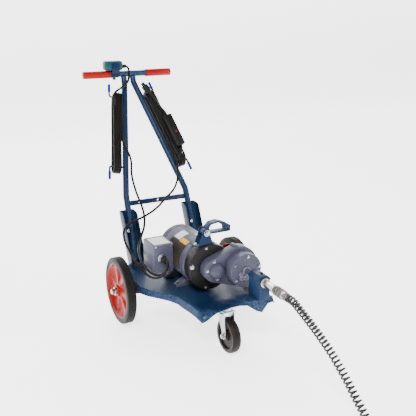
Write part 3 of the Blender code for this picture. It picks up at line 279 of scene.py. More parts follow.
CONTROL_TOP = [(-0.0262, 0.4976, 0.9120), (-0.0110, 0.4970, 0.9120), (-0.0030, 0.4860, 0.9070),
               (-0.0080, 0.4640, 0.8780), (-0.0220, 0.4430, 0.8520), (-0.0560, 0.4290, 0.8310),
               (-0.0884, 0.4232, 0.8099)]
CONTROL_LOW = [(-0.1024, 0.3097, 0.6330), (-0.0975, 0.2880, 0.6060), (-0.0900, 0.2580, 0.5640),
               (-0.0960, 0.2380, 0.5050), (-0.0930, 0.2000, 0.4400), (-0.0830, 0.1780, 0.3950),
               (-0.0780, 0.1650, 0.3600), (-0.0900, 0.1320, 0.3270), (-0.1250, 0.0800, 0.2980),
               (-0.1620, 0.0200, 0.2740), (-0.1780, -0.0450, 0.2500), (-0.1780, -0.1080, 0.2340),
               (-0.1650, -0.1530, 0.2290), (-0.1480, -0.1800, 0.2410), (-0.1380, -0.1860, 0.2580),
               (-0.1335, -0.1810, 0.2720), (-0.1330, -0.1740, 0.2764), (-0.1330, -0.1510, 0.2764)]
POWER_LOW = [(-0.1330, -0.1510, 0.2856), (-0.1330, -0.1740, 0.2856), (-0.1340, -0.1900, 0.2820),
             (-0.1410, -0.1980, 0.2640), (-0.1540, -0.1940, 0.2420), (-0.1730, -0.1680, 0.2240),
             (-0.1890, -0.1180, 0.2250), (-0.1990, -0.0550, 0.2460), (-0.2030, 0.0100, 0.2740),
             (-0.2020, 0.0640, 0.3060), (-0.1860, 0.1000, 0.3300), (-0.1500, 0.1230, 0.3430),
             (-0.0850, 0.1420, 0.3560), (-0.0250, 0.1560, 0.3790), (0.0220, 0.1680, 0.4130),
             (0.0600, 0.1840, 0.4340), (0.0850, 0.2040, 0.4560), (0.1020, 0.2250, 0.4790),
             (0.1110, 0.2470, 0.5060), (0.1144, 0.2683, 0.5379)]
POWER_TOP = [(0.0640, 0.4076, 0.8032), (0.0705, 0.4001, 0.7922), (0.0830, 0.3836, 0.7662),
             (0.0965, 0.3681, 0.7442), (0.1082, 0.3558, 0.7263), (0.1107, 0.3496, 0.7165)]

band = 2 * SIDE_STEP      # half the width that the turns take
control_turns = wound(-1, [(TURN_OUT, band, -band, 4)], False)
high, low, down, outward, front = hank_axes(-1)
leaving = [high + down * along + front * ahead - outward * band
           for along, ahead in ((0.06, TURN_OUT), (0.12, 0.0250), (0.165, 0.0262))]
control_points = run_of(CONTROL_TOP) + control_turns[1:] + leaving + run_of(CONTROL_LOW)
control_cord = cord_curve("control_cord", control_points, CORD_WIDE, jacket)
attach(control_cord, "frame")
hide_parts("control_cord_upper", "control_hank", "control_cord_lower")
run_of(CONTROL_TOP)[0]

GUARD_TOP = 0.1211        # the in-line guard's two ends, as distances down the hank
GUARD_END = 0.2641
GUARD_FRONT = 0.0440
GUARD_OUT = 0.012
high, low, down, outward, front = hank_axes(1)
power_turns = wound(1, [(TURN_IN, -band, band, 4), (TURN_OUT, band, -band, 4)], True)
to_guard = [high + down * along + front * ahead + outward * offset
            for along, ahead, offset in ((0.306, 0.0285, -0.012), (0.290, 0.0370, 0.0),
                                         (0.275, 0.0432, 0.010))]
to_guard += [high + down * along + front * GUARD_FRONT + outward * GUARD_OUT
             for along in (GUARD_END, 0.235, 0.190, 0.150, GUARD_TOP)]
power_points = run_of(POWER_LOW) + power_turns[3:-2] + to_guard + run_of(reversed(POWER_TOP))
power_cord = cord_curve("power_cord", power_points, CORD_WIDE, jacket)
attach(power_cord, "frame")
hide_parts("power_cord_lower", "power_hank", "power_cord_upper")

# ---- drain cable ---------------------------------------------------------------------------
# An open-wound spring of 7 mm steel wire, 28 mm across. It leaves the coupling, runs down to
# the floor and lies there in two flat turns, with its end coupling inside them.
CABLE_WIDE = 0.028
WIRE_R = 0.0034
WIRE_PITCH = 0.0140
COIL_START = 0.164        # radius of the flat turns at their start and end
COIL_END = 0.1037
COIL_TURNS = 2
POINTS_A_TURN = 48
CABLE_LINE = 0.095
CABLE_RUN = [(-0.6078, 0.267), (-0.636, 0.2670), (-0.675, 0.2540), (-0.725, 0.2355), (-0.780, 0.2130),
             (-0.840, 0.1830), (-0.900, 0.1440), (-0.960, 0.0980), (-1.020, 0.0560), (-1.090, 0.0230),
             (-1.160, 0.0150), (-1.225, 0.0148)]
coil_low, coil_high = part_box("drain_coil")
coil_middle = (coil_low + coil_high) / 2


def new_tree(name, inputs, output):
    """A geometry tree with named inputs and one output, and the sockets of its inputs."""
    tree = bpy.data.node_groups.new(name, "GeometryNodeTree")
    for label, kind in inputs:
        tree.interface.new_socket(label, in_out="INPUT", socket_type="NodeSocket" + kind)
    tree.interface.new_socket(output, in_out="OUTPUT", socket_type="NodeSocketGeometry")
    return tree, add_node(tree, "NodeGroupInput").outputs


def ended(tree, mesh, finish, output):
    """The tree, with its mesh made real, given its finish and sent to the output."""
    real = add_node(tree, "GeometryNodeRealizeInstances", {"Geometry": mesh})
    done = add_node(tree, "GeometryNodeSetMaterial",
                    {"Geometry": real.outputs["Geometry"], "Material": finish})
    add_node(tree, "NodeGroupOutput", {output: done.outputs["Geometry"]})
    return tree


def wound_wire_tree():
    """A round wire wound along a curve at an even pitch, as a closed tube."""
    tree, given = new_tree("wound wire", (
        ("Path", "Geometry"), ("Coil Radius", "Float"), ("Pitch", "Float"), ("Wire Radius", "Float"),
        ("Finish", "Material")), "Wire")
    spacing = maths(tree, "DIVIDE", given["Pitch"], 14.0)
    fine = add_node(tree, "GeometryNodeResampleCurve", {"Curve": given["Path"], "Length": spacing},
                    mode="LENGTH").outputs["Curve"]
    walked = add_node(tree, "GeometryNodeSplineParameter").outputs["Length"]
    turns = maths(tree, "DIVIDE", walked, given["Pitch"])
    angle = maths(tree, "MULTIPLY", turns, 2 * math.pi)
    normal = add_node(tree, "GeometryNodeInputNormal").outputs["Normal"]
    tangent = add_node(tree, "GeometryNodeInputTangent").outputs["Tangent"]
    side = add_node(tree, "ShaderNodeVectorMath", {0: tangent, 1: normal},
                    operation="CROSS_PRODUCT").outputs[0]
    parts = []
    for direction, wave in ((normal, "COSINE"), (side, "SINE")):
        amount = maths(tree, wave, angle)
        amount = maths(tree, "MULTIPLY", amount, given["Coil Radius"])
        parts.append(add_node(tree, "ShaderNodeVectorMath", {0: direction, "Scale": amount},
                              operation="SCALE").outputs[0])
    offset = add_node(tree, "ShaderNodeVectorMath", {0: parts[0], 1: parts[1]}, operation="ADD").outputs[0]
    wound_line = add_node(tree, "GeometryNodeSetPosition", {"Geometry": fine, "Offset": offset})
    section = add_node(tree, "GeometryNodeCurvePrimitiveCircle",
                       {"Resolution": 7, "Radius": given["Wire Radius"]})
    wire = add_node(tree, "GeometryNodeCurveToMesh",
                    {"Curve": wound_line.outputs["Geometry"], "Profile Curve": section.outputs["Curve"],
                     "Fill Caps": True})
    return ended(tree, wire.outputs["Mesh"], given["Finish"], "Wire")


def grown(name, source, tree, **values):
    """The plain mesh that a geometry tree makes from a source object, which is then removed."""
    growth = source.modifiers.new("growth", "NODES")
    growth.node_group = tree
    for item in tree.interface.items_tree:
        label = item.name.lower().replace(" ", "_")
        if item.in_out == "INPUT" and label in values:
            growth[item.identifier] = values[label]
    if source.name not in bpy.context.scene.collection.objects:
        bpy.context.scene.collection.objects.link(source)
    bpy.context.view_layer.update()
    graph = bpy.context.evaluated_depsgraph_get()
    mesh = bpy.data.meshes.new_from_object(source.evaluated_get(graph), depsgraph=graph)
    mesh.name = name
    bpy.data.objects.remove(source)
    made = bpy.data.objects.new(name, mesh)
    bpy.context.scene.collection.objects.link(made)
    return made


cable_points = [at(CABLE_LINE, y, z) for y, z in CABLE_RUN]
coil_steps = POINTS_A_TURN * COIL_TURNS
for step in range(1, coil_steps + 1):
    angle = math.pi + 2 * math.pi * COIL_TURNS * step / coil_steps
    reach = COIL_START + (COIL_END - COIL_START) * step / coil_steps
    cable_points.append(Vector((coil_middle.x + reach * math.cos(angle),
                                coil_middle.y + reach * math.sin(angle), CABLE_WIDE / 2 + 0.0008)))
black_oxide = coat("black_oxide_wire", (0.035, 0.034, 0.034), (0.45, 0.45, 0.46), 0.32, 0.0,
                   (60.0, 0.9), (900.0, 0.0002), metallic=0.85)
line = cord_curve("cable_line", cable_points, 0, black_oxide)
spring = grown("drain_spring", line, wound_wire_tree(), coil_radius=CABLE_WIDE / 2 - WIRE_R,
               pitch=WIRE_PITCH, wire_radius=WIRE_R, finish=black_oxide)
spring.data.shade_smooth()
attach(spring, "frame")
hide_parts("drain_cable", "drain_coil")

# ---- deck and axle channel ------------------------------------------------------------------
# Folded and pressed sheet steel, 3 mm thick, powder-coated navy. The skirt flares out and the
# nose sweeps up to the bearing block; a folded channel under it carries the axle.
body_of = {node: body for body, nodes in frame["record"]["behaviour"]["bodies"].items() for node in nodes}


def copied(node, spread=1.5):
    """A welded copy of one CAD solid, with its flat triangles merged into whole faces."""
    shape = bmesh.new()
    shape.from_mesh(frame["nodes"][node].data)
    bmesh.ops.remove_doubles(shape, verts=shape.verts, dist=1e-5)
    bmesh.ops.dissolve_limit(shape, angle_limit=math.radians(spread), verts=shape.verts, edges=shape.edges)
    return shape


def piece(name, shape, finish, slot, *nodes, body=None, round_by=0.0):
    """One smooth object from a shape: edges rounded, outer edges marked for wear, and placed."""
    mesh = bpy.data.meshes.new(name)
    shape.to_mesh(mesh)
    shape.free()
    made = bpy.data.objects.new(name, mesh)
    bpy.context.scene.collection.objects.link(made)
    mesh.shade_smooth()
    mesh.set_sharp_from_angle(angle=math.radians(35))
    if round_by:
        edge = made.modifiers.new("round", "BEVEL")
        edge.width = round_by
        edge.segments = 2
        edge.limit_method = "ANGLE"
        edge.angle_limit = math.radians(34)
        bpy.context.view_layer.update()
        graph = bpy.context.evaluated_depsgraph_get()
        made.data = bpy.data.meshes.new_from_object(made.evaluated_get(graph), depsgraph=graph)
        made.modifiers.clear()
        made.data.shade_smooth()
        made.data.set_sharp_from_angle(angle=math.radians(60))
    worn = made.data.attributes.new("edge", "FLOAT", "POINT")
    shape = bmesh.new()
    shape.from_mesh(made.data)
    for vert in shape.verts:
        bend = max((edge.calc_face_angle_signed(0) for edge in vert.link_edges), default=0)
        worn.data[vert.index].value = min(1, max(0, (bend - 0.5) * 4))
    shape.free()
    made.data.materials.clear()
    made.data.materials.append(finish)
    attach(made, body or body_of[nodes[0]])
    if nodes:
        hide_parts(*nodes)
    return made


def as_made(name, node, finish, slot, round_by=0.0):
    """One CAD solid in its own shape, with a finish."""
    return piece(name, copied(node), finish, slot, node, round_by=round_by)


navy = coat("navy_paint", (0.003, 0.015, 0.046), (0.05, 0.10, 0.18), 0.38, 0.5, (5.0, 0.5), (260.0, 0.0003),
            clear=0.06)
bright_zinc = coat("bright_zinc", (0.44, 0.45, 0.48), (0.85, 0.85, 0.88), 0.26, 0.3, (40.0, 0.5),
                   (700.0, 0.0001), metallic=1.0)

piece("deck_sheet", copied("deck", 0.05), navy, "navy", "deck")
as_made("channel_under_deck", "axle_channel", navy, "navy", round_by=0.0015)
as_made("axle_bar", "axle", bright_zinc, "steel", round_by=0.001)

# ---- handle frame ---------------------------------------------------------------------------
# Bent 1 inch steel tube, a flat-sided cross bar, a pierced brace and two folded angle brackets
# bolted to the deck, all powder-coated navy. The grips are red vinyl.
for label in ("left", "right"):
    as_made(f"tube_{label}", f"upright_{label}", navy, "navy")
    as_made(f"angle_{label}", f"bracket_{label}", navy, "navy", round_by=0.0014)
as_made("cross_bar", "handlebar", navy, "navy")
as_made("brace", "cross_brace", navy, "navy", round_by=0.0012)
red_vinyl = coat("red_vinyl", (0.24, 0.003, 0.002), (0.6, 0.06, 0.04), 0.36, 0.2, (12.0, 0.4),
                 (900.0, 0.0002), clear=0.05)
for label in ("left", "right"):
    as_made(f"hand_grip_{label}", f"grip_{label}", red_vinyl, "vinyl", round_by=0.003)

# ---- cord hooks -----------------------------------------------------------------------------
# Bent 8 mm rods welded to the uprights, painted with them; the turned ends wear blue sleeves.
# Each hank of cord hangs on one upper and one lower hook.
def turned(outline, middle, along, steps=64):
    """A turned solid from (radius, distance) points, about an axis along "x", "y" or "z"."""
    shape = bmesh.new()
    way = {"x": Vector((1, 0, 0)), "y": Vector((0, -1, 0)), "z": Vector((0, 0, 1))}[along]
    side = {"x": Vector((0, 0, 1)), "y": Vector((0, 0, 1)), "z": Vector((1, 0, 0))}[along]
    rim = [shape.verts.new(middle + way * reach + side * radius) for radius, reach in outline]
    lines = [shape.edges.new(pair) for pair in zip(rim, rim[1:])]
    bmesh.ops.spin(shape, geom=rim + lines, cent=middle, axis=way, angle=2 * math.pi, steps=steps)
    bmesh.ops.remove_doubles(shape, verts=shape.verts, dist=1e-6)
    bmesh.ops.recalc_face_normals(shape, faces=shape.faces)
    return shape


blue_vinyl = coat("blue_vinyl", (0.003, 0.005, 0.16), (0.05, 0.06, 0.4), 0.35, 0.2)
SLEEVE_R = 0.0058
SLEEVE_LONG = 0.034
TIP_END = 0.056
HOOK_OUT = 0.0303
for side, label in ((-1, "left"), (1, "right")):
    high, low, down, outward, front = hank_axes(side)
    for level, middle, turn in (("upper", high, -1), ("lower", low, 1)):
        node = f"hook_{level}_{label}"
        as_made(f"rod_{level}_{label}", node, navy, "vinyl")
        end = middle + outward * HOOK_OUT + down * turn * (TIP_END + 0.001)
        sleeve = turned([(0, 0), (SLEEVE_R * 0.7, 0.0002), (SLEEVE_R, 0.002), (SLEEVE_R, SLEEVE_LONG),
                         (0.0035, SLEEVE_LONG + 0.0005)], Vector((0, 0, 0)), "z", 20)
        upright = (down * -turn).to_track_quat("Z", "Y").to_matrix().to_4x4()
        sleeve.transform(Matrix.Translation(end) @ upright)
        piece(f"sleeve_{level}_{label}", sleeve, blue_vinyl, "vinyl", body="frame")

# ---- wheels ---------------------------------------------------------------------------------
# Red pressed-steel hubs with six broad folds, a plated nut on the axle, and solid rubber tyres
# with grooves round the tread.
tyre_rubber = coat("tyre_rubber", (0.008, 0.0075, 0.007), (0.04, 0.038, 0.036), 0.5, 0.35, (14.0, 0.6),
                   (600.0, 0.0004))
red_paint = coat("red_paint", (0.24, 0.003, 0.002), (0.6, 0.1, 0.08), 0.28, 0.4, (10.0, 0.4), (300.0, 0.0002),
                 clear=0.08)
WHEEL_R = 0.127
HALF_WIDE = 0.018
SEAT_R = 0.1045
GROOVES = 6
GROOVE_PITCH = 0.0051
GROOVE_DEEP = 0.003
GROOVE_TOP = 0.0013       # half the width of a groove at its top and at its floor
GROOVE_FLOOR = 0.0009
FOLDS = 6
FOLD_SHARP = 2.5          # how square the broad folds are
SHEET = 0.004
RIM_STEPS = 96
BORE_R = 0.0125
BOSS_R = 0.0205
HUB_RINGS = ((BORE_R, 0.018, 0), (BOSS_R, 0.017, 0), (0.0215, 0.010, 0), (0.030, 0.004, 0.0015),
             (0.045, 0.001, 0.0040), (0.062, -0.001, 0.0048), (0.078, -0.001, 0.0044),
             (0.090, 0.001, 0.0020), (0.096, 0.006, 0), (0.0985, 0.014, 0),
             (0.1015, 0.0168, 0), (SEAT_R, 0.0165, 0))   # radius, reach outwards, fold depth


def joined(*shapes):
    """Several shapes as one, each keeping its own closed surface."""
    whole = bmesh.new()
    for shape in shapes:
        mesh = bpy.data.meshes.new("part")
        shape.to_mesh(mesh)
        shape.free()
        whole.from_mesh(mesh)
        bpy.data.meshes.remove(mesh)
    return whole


def tyre_outline():
    """Side wall, grooved tread and the other side wall, as a closed outline."""
    wall = [(SEAT_R, HALF_WIDE - 0.001), (SEAT_R + 0.004, HALF_WIDE), (WHEEL_R - 0.008, HALF_WIDE - 0.0004),
            (WHEEL_R - 0.004, HALF_WIDE - 0.0015), (WHEEL_R - 0.001, HALF_WIDE - 0.003)]
    tread = []
    for groove in range(GROOVES):
        middle = (groove - (GROOVES - 1) / 2) * GROOVE_PITCH
        tread += [(WHEEL_R, middle - GROOVE_TOP), (WHEEL_R - GROOVE_DEEP, middle - GROOVE_FLOOR),
                  (WHEEL_R - GROOVE_DEEP, middle + GROOVE_FLOOR), (WHEEL_R, middle + GROOVE_TOP)]
    outline = [(radius, -reach) for radius, reach in wall] + tread + wall[::-1]
    return outline + outline[:1]


def lofted(rings, capped=True):
    """A skin through rings that have the same number of points."""
    shape = bmesh.new()
    rings = [[shape.verts.new(point) for point in ring] for ring in rings]
    for near, far in zip(rings, rings[1:]):
        for index in range(len(near)):
            following = (index + 1) % len(near)
            shape.faces.new((near[index], near[following], far[following], far[index]))
    if capped:
        shape.faces.new(rings[0])
        shape.faces.new(rings[-1])
    bmesh.ops.recalc_face_normals(shape, faces=shape.faces)
    return shape


def dished_wall(centre, side, inset, facing):
    """One face of the pressed hub sheet; facing is 1 for the outer face and -1 for the inner."""
    rings = []
    for radius, reach, depth in HUB_RINGS:
        ring = []
        for step in range(RIM_STEPS):
            angle = 2 * math.pi * step / RIM_STEPS
            fold = depth * math.tanh(FOLD_SHARP * math.cos(FOLDS * angle))
            ring.append(centre + Vector((side * (reach + fold - inset),
                                         radius * math.cos(angle), radius * math.sin(angle))))
        rings.append(ring)
    wall = lofted(rings, capped=False)
    if sum(face.normal.x * face.calc_area() for face in wall.faces) * side * facing < 0:
        bmesh.ops.reverse_faces(wall, faces=wall.faces)
    return wall


for side, label in ((-1, "left"), (1, "right")):
    low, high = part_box(f"wheel_{label}_tyre")
    centre = (low + high) / 2
    piece(f"tyre_{label}", turned(tyre_outline(), centre, "x", RIM_STEPS), tyre_rubber, "tyre",
          f"wheel_{label}_tyre")
    barrel = turned([(SEAT_R, -0.0165), (0.1015, -0.0168), (0.100, -0.012), (0.100, 0.012), (SEAT_R, 0.0165)],
                    centre, "x", RIM_STEPS)
    boss = turned([(BORE_R, -0.018), (BOSS_R, -0.018), (BOSS_R, 0.016), (BORE_R, 0.016), (BORE_R, -0.018)],
                  centre, "x", 40)
    sheet = joined(dished_wall(centre, side, 0, 1), dished_wall(centre, side, SHEET, -1), barrel, boss)
    piece(f"hub_{label}", sheet, red_paint, "red", f"wheel_{label}_hub")

# ---- axle nuts ------------------------------------------------------------------------------
# A plated hexagon nut on a washer at each end of the axle. Every bolt head and nut of the machine
# is made this way: points with a direction and a size, and a tree that puts a head on each.
def bolt_tree():
    """A hexagon head with a chamfered top on a washer, set on each point and turned its way."""
    tree, given = new_tree("bolt heads", (
        ("Places", "Geometry"), ("Head Height", "Float"), ("Washer", "Float"),
        ("Finish", "Material")), "Heads")
    hexagon = add_node(tree, "GeometryNodeMeshCylinder",
                       {"Vertices": 6, "Radius": 0.5, "Depth": given["Head Height"]}).outputs["Mesh"]
    washer = add_node(tree, "GeometryNodeMeshCylinder",
                      {"Vertices": 20, "Radius": given["Washer"], "Depth": 0.16}).outputs["Mesh"]
    top = add_node(tree, "GeometryNodeMeshCone", {"Vertices": 12, "Radius Top": 0.30, "Radius Bottom": 0.44,
                                                  "Depth": 0.08}).outputs["Mesh"]
    half = maths(tree, "MULTIPLY", given["Head Height"], 0.5)
    lift = add_node(tree, "ShaderNodeCombineXYZ", {"Z": half}).outputs[0]
    cap = add_node(tree, "ShaderNodeCombineXYZ", {"Z": given["Head Height"]}).outputs[0]
    both = add_node(tree, "GeometryNodeJoinGeometry")
    for mesh, move in ((hexagon, lift), (washer, (0.0, 0.0, 0.06)), (top, cap)):
        moved = add_node(tree, "GeometryNodeTransform", {"Geometry": mesh, "Translation": move})
        tree.links.new(moved.outputs["Geometry"], both.inputs["Geometry"])
    way = add_node(tree, "GeometryNodeInputNamedAttribute", {"Name": "way"}, data_type="FLOAT_VECTOR")
    size = add_node(tree, "GeometryNodeInputNamedAttribute", {"Name": "size"}, data_type="FLOAT")
    turn = add_node(tree, "FunctionNodeAlignRotationToVector", {"Vector": way.outputs[0]}, axis="Z")
    heads = add_node(tree, "GeometryNodeInstanceOnPoints",
                     {"Points": given["Places"], "Instance": both.outputs["Geometry"],
                      "Rotation": turn.outputs["Rotation"], "Scale": size.outputs[0]})
    return ended(tree, heads.outputs["Instances"], given["Finish"], "Heads")


bolt_growth = bolt_tree()


def bolts(name, body, finish, places, head_height=0.55, washer=0.68):
    """Heads at (point, direction, size across) places, riding on one body."""
    mesh = bpy.data.meshes.new(name)
    mesh.from_pydata([place for place, _, _ in places], [], [])
    mesh.attributes.new("way", "FLOAT_VECTOR", "POINT")
    mesh.attributes.new("size", "FLOAT", "POINT")
    for index, (_, way, size) in enumerate(places):
        mesh.attributes["way"].data[index].vector = way
        mesh.attributes["size"].data[index].value = size
    heads = grown(name, bpy.data.objects.new(name, mesh), bolt_growth, head_height=head_height,
                  washer=washer, finish=finish)
    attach(heads, body)


hub_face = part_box("wheel_left_hub")[0].x
bolts("axle_nuts", "frame", bright_zinc,
      [(Vector((side * (abs(hub_face) + 0.0012), set_back, WHEEL_R)), (side, 0, 0), 0.023)
       for side in (-1, 1)], head_height=0.62)

# ---- caster ---------------------------------------------------------------------------------
# A bright-zinc pressed fork under a plate bolted to the deck, and a dark rubber wheel on a
# plated bolt. The fork swivels on a kingpin.
caster_rubber = coat("caster_rubber", (0.010, 0.0075, 0.006), (0.05, 0.04, 0.035), 0.42, 0.3, (16.0, 0.5),
                     (500.0, 0.0003))
as_made("caster_mount", "caster_plate", bright_zinc, "zinc", round_by=0.001)
as_made("caster_yoke", "caster_fork", bright_zinc, "zinc", round_by=0.0012)
as_made("caster_bolt", "caster_axle", bright_zinc, "steel", round_by=0.0006)
low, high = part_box("caster_wheel")
centre = (low + high) / 2
radius, half = (high.z - low.z) / 2, (high.x - low.x) / 2
wall = [(0.0068, -half), (0.019, -half), (0.0195, -half + 0.006), (radius - 0.018, -half + 0.007),
        (radius - 0.016, -half + 0.001), (radius - 0.006, -half), (radius - 0.0015, -half + 0.004),
        (radius, -half + 0.010)]
outline = wall + [(reach, -across) for reach, across in reversed(wall)] + wall[:1]
piece("caster_tyre", turned(outline, centre, "x", 72), caster_rubber, "tyre", "caster_wheel")
_, fork_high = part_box("caster_fork")
plate_low, plate_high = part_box("caster_plate")
bolts("caster_nuts", body_of["caster_fork"], bright_zinc,
      [(Vector((side * fork_high.x, centre.y, centre.z)), (side, 0, 0), 0.017) for side in (-1, 1)])
plate_middle = (plate_low + plate_high) / 2
PLATE_BOLT_X = (plate_high.x - plate_low.x) / 2 - 0.016
PLATE_BOLT_Y = (plate_high.y - plate_low.y) / 2 - 0.014
bolts("caster_plate_bolts", "frame", bright_zinc,
      [(Vector((plate_middle.x + x, plate_middle.y + y, plate_low.z - 0.0002)), (0, 0, -1), 0.011)
       for x in (-PLATE_BOLT_X, PLATE_BOLT_X) for y in (-PLATE_BOLT_Y, PLATE_BOLT_Y)], head_height=0.5)

# ---- motor ----------------------------------------------------------------------------------
# A rolled steel shell with cast end bells, in blue-grey paint. A woven guard covers its vent
# beside the wiring box, over a near-black sheet that is painted shade for the open vent, and
# blank stickers lie on its top. The rear bell is notched.
machine_grey = coat("machine_grey_paint", (0.062, 0.063, 0.094), (0.26, 0.26, 0.32), 0.36, 0.7, (9.0, 0.7),
                    (420.0, 0.0006), clear=0.04)
shaft_z = 0.267
shell_r = 0.083
for name, node, rounding in (("shell", "motor_shell", 0.0008), ("front_bell", "motor_front_bell", 0.0015),
                             ("rear_bell", "motor_rear_bell", 0.0015)):
    as_made(name, node, machine_grey, "motor", round_by=rounding)


def wrapped(name, finish, slot, angles, ends, lift, steps=24):
    """A thin patch bent round the shell: angles in degrees from the top, ends along the shaft."""
    top, under = shell_r + lift, shell_r - 0.001
    section = ((top, ends[0]), (top, ends[1]), (under, ends[1]), (under, ends[0]))
    rings = []
    for step in range(steps + 1):
        angle = math.radians(angles[0] + (angles[1] - angles[0]) * step / steps)
        rings.append([at(-radius * math.sin(angle), y, shaft_z + radius * math.cos(angle))
                      for radius, y in section])
    return piece(name, lofted(rings), finish, slot, body="frame")


white_sticker = coat("white_sticker", (0.62, 0.62, 0.62), (0.7, 0.7, 0.7), 0.35, 0.0, (40.0, 0.25))
yellow_sticker = coat("yellow_sticker", (0.60, 0.30, 0.0), (0.8, 0.5, 0.05), 0.35, 0.0, (40.0, 0.25))
# Painted shade: a near-black finish for the sheet under the vent guard, standing in for the dark inside of
# the open vent.
vent_dark = coat("vent_dark", (0.006, 0.0045, 0.003), (0.02, 0.02, 0.02), 0.7, 0.0)
vent_wire = coat("vent_wire", (0.045, 0.034, 0.022), (0.2, 0.17, 0.12), 0.45, 0.3, metallic=0.4)
wrapped("sticker_long", white_sticker, "vinyl", (8, 38), (-0.112, -0.068), 0.0004)
wrapped("sticker_wide", white_sticker, "vinyl", (-32, -2), (-0.176, -0.128), 0.0004)
wrapped("sticker_yellow", yellow_sticker, "vinyl", (28, 41), (-0.172, -0.120), 0.0012)
# This sheet is painted shade laid on the shell under the vent guard, not a part of the machine.
wrapped("vent_floor", vent_dark, "black", (41, 106), (-0.174, -0.062), 0.0004)


def lattice_tree():
    """Round wires along every edge of a grid, as one closed mesh."""
    tree, given = new_tree("wire lattice", (
        ("Grid", "Geometry"), ("Wire Radius", "Float"), ("Finish", "Material")), "Wires")
    lines = add_node(tree, "GeometryNodeMeshToCurve", {"Mesh": given["Grid"]})
    section = add_node(tree, "GeometryNodeCurvePrimitiveCircle",
                       {"Resolution": 5, "Radius": given["Wire Radius"]})
    wires = add_node(tree, "GeometryNodeCurveToMesh",
                     {"Curve": lines.outputs["Curve"], "Profile Curve": section.outputs["Curve"],
                      "Fill Caps": True})
    return ended(tree, wires.outputs["Mesh"], given["Finish"], "Wires")


VENT_FROM = 42            # degrees from the top
VENT_SWEEP = 63
VENT_REAR = -0.063
VENT_LONG = 0.110
vent_r = shell_r + 0.0016
grid_points, grid_edges = [], []
around, along = 12, 14
for row in range(around + 1):
    angle = math.radians(VENT_FROM + VENT_SWEEP * row / around)
    for column in range(along + 1):
        grid_points.append(at(-vent_r * math.sin(angle), VENT_REAR - VENT_LONG * column / along,
                              shaft_z + vent_r * math.cos(angle)))
        here = row * (along + 1) + column
        if column < along and row < around:
            grid_edges += [(here, here + along + 2), (here + 1, here + along + 1)]
grid_mesh = bpy.data.meshes.new("vent_grid")
grid_mesh.from_pydata(grid_points, grid_edges, [])
vent = grown("vent_guard", bpy.data.objects.new("vent_grid", grid_mesh), lattice_tree(), wire_radius=0.0010,
             finish=vent_wire)
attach(vent, "frame")

# ---- wiring box -----------------------------------------------------------------------------
# A folded steel box on a short neck at the motor's side, with a screwed lid carrying a blank
# sticker, and a plated gland with a moulded relief for the two cords.
def block(low, high):
    """A plain box between two corners."""
    shape = bmesh.new()
    size = [b - a for a, b in zip(low, high)]
    middle = [(a + b) / 2 for a, b in zip(low, high)]
    bmesh.ops.create_cube(shape, size=1, matrix=Matrix.Translation(middle) @ Matrix.Diagonal((*size, 1)))
    return shape


box_low, box_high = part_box("conduit_box")
inner_x = -0.086
lid_over = 0.0008
body_shape = block((box_low.x + 0.004, box_low.y, box_low.z), (inner_x, box_high.y, box_high.z - 0.003))
lid = block((box_low.x, box_low.y - lid_over, box_high.z - 0.010),
            (inner_x + 0.002, box_high.y + lid_over, box_high.z))
side_lid = block((box_low.x, box_low.y + 0.0004, box_low.z + 0.004),
                 (box_low.x + 0.003, box_high.y, box_high.z - 0.008))
neck = turned([(0, 0), (0.030, 0), (0.030, 0.014), (0, 0.014)],
              Vector((inner_x - 0.002, (box_low.y + box_high.y) / 2, shaft_z)), "x", 32)
piece("wiring_box", joined(body_shape, lid, side_lid, neck), machine_grey, "motor", "conduit_box",
      round_by=0.0016)
piece("sticker_box", block((box_low.x + 0.008, box_low.y + 0.010, box_high.z + 0.0001),
                           (inner_x - 0.006, box_high.y - 0.014, box_high.z + 0.0005)),
      white_sticker, "vinyl", body="frame")
bolts("box_screws", "frame", bright_zinc,
      [(Vector((x, box_low.y - 0.001, box_high.z - 0.005)), (0, -1, 0), 0.005)
       for x in (box_low.x + 0.008, inner_x - 0.008)], head_height=0.3)
as_made("gland", "cord_gland", bright_zinc, "zinc", round_by=0.0008)
gland_low, gland_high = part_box("cord_gland")
gland_middle = (gland_low + gland_high) / 2
nut = bmesh.new()
bmesh.ops.create_cone(nut, cap_ends=True, segments=6, radius1=0.0168, radius2=0.0168, depth=0.006,
                      matrix=Matrix.Translation((gland_middle.x, gland_high.y - 0.0135, gland_middle.z))
                      @ Matrix.Rotation(math.pi / 2, 4, "X"))
piece("gland_nut", nut, bright_zinc, "zinc", body="frame", round_by=0.0008)
soft_black = coat("soft_black", (0.006, 0.006, 0.006), (0.05, 0.05, 0.05), 0.45, 0.3)


def relief(name, wide, shoulder, narrow, length, place, along):
    """A moulded taper round a cord where it leaves its case."""
    outline = [(0, 0), (wide, 0), (shoulder, 0.004), (narrow, length), (0, length)]
    piece(name, turned(outline, place, along, 28), soft_black, "black", body="frame")


between_z = (power_points[0].z + control_points[-1].z) / 2
relief("gland_relief", 0.0128, 0.0120, 0.0102, 0.022,
       Vector((gland_middle.x, power_points[0].y + 0.001, between_z)), "y")

# ---- adapter and gear case ------------------------------------------------------------------
# A cast adapter in dark grey joins the motor to a two-lobed gear case and its round cover,
# both cast and painted blue-grey. Plated bolts hold them; the cover carries raised bosses.
dark_casting = coat("dark_casting", (0.011, 0.0105, 0.011), (0.09, 0.088, 0.085), 0.36, 0.8, (11.0, 1.0),
                    (330.0, 0.0009), clear=0.05)
as_made("adapter", "adapter_plate", dark_casting, "charcoal", round_by=0.0022)
as_made("case", "gear_housing", machine_grey, "motor", round_by=0.0022)
as_made("cover", "gear_cover", machine_grey, "motor", round_by=0.0018)
adapter_low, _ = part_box("adapter_plate")
cover_low, cover_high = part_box("gear_cover")
axis_x = (cover_low.x + cover_high.x) / 2


def ringed(middle_x, middle_z, radius, y, size, degrees):
    """Bolt places round a centre, looking back along the shaft; degrees from the +X side."""
    return [(Vector((middle_x + radius * math.cos(math.radians(a)), y,
                     middle_z + radius * math.sin(math.radians(a)))), (0, -1, 0), size) for a in degrees]


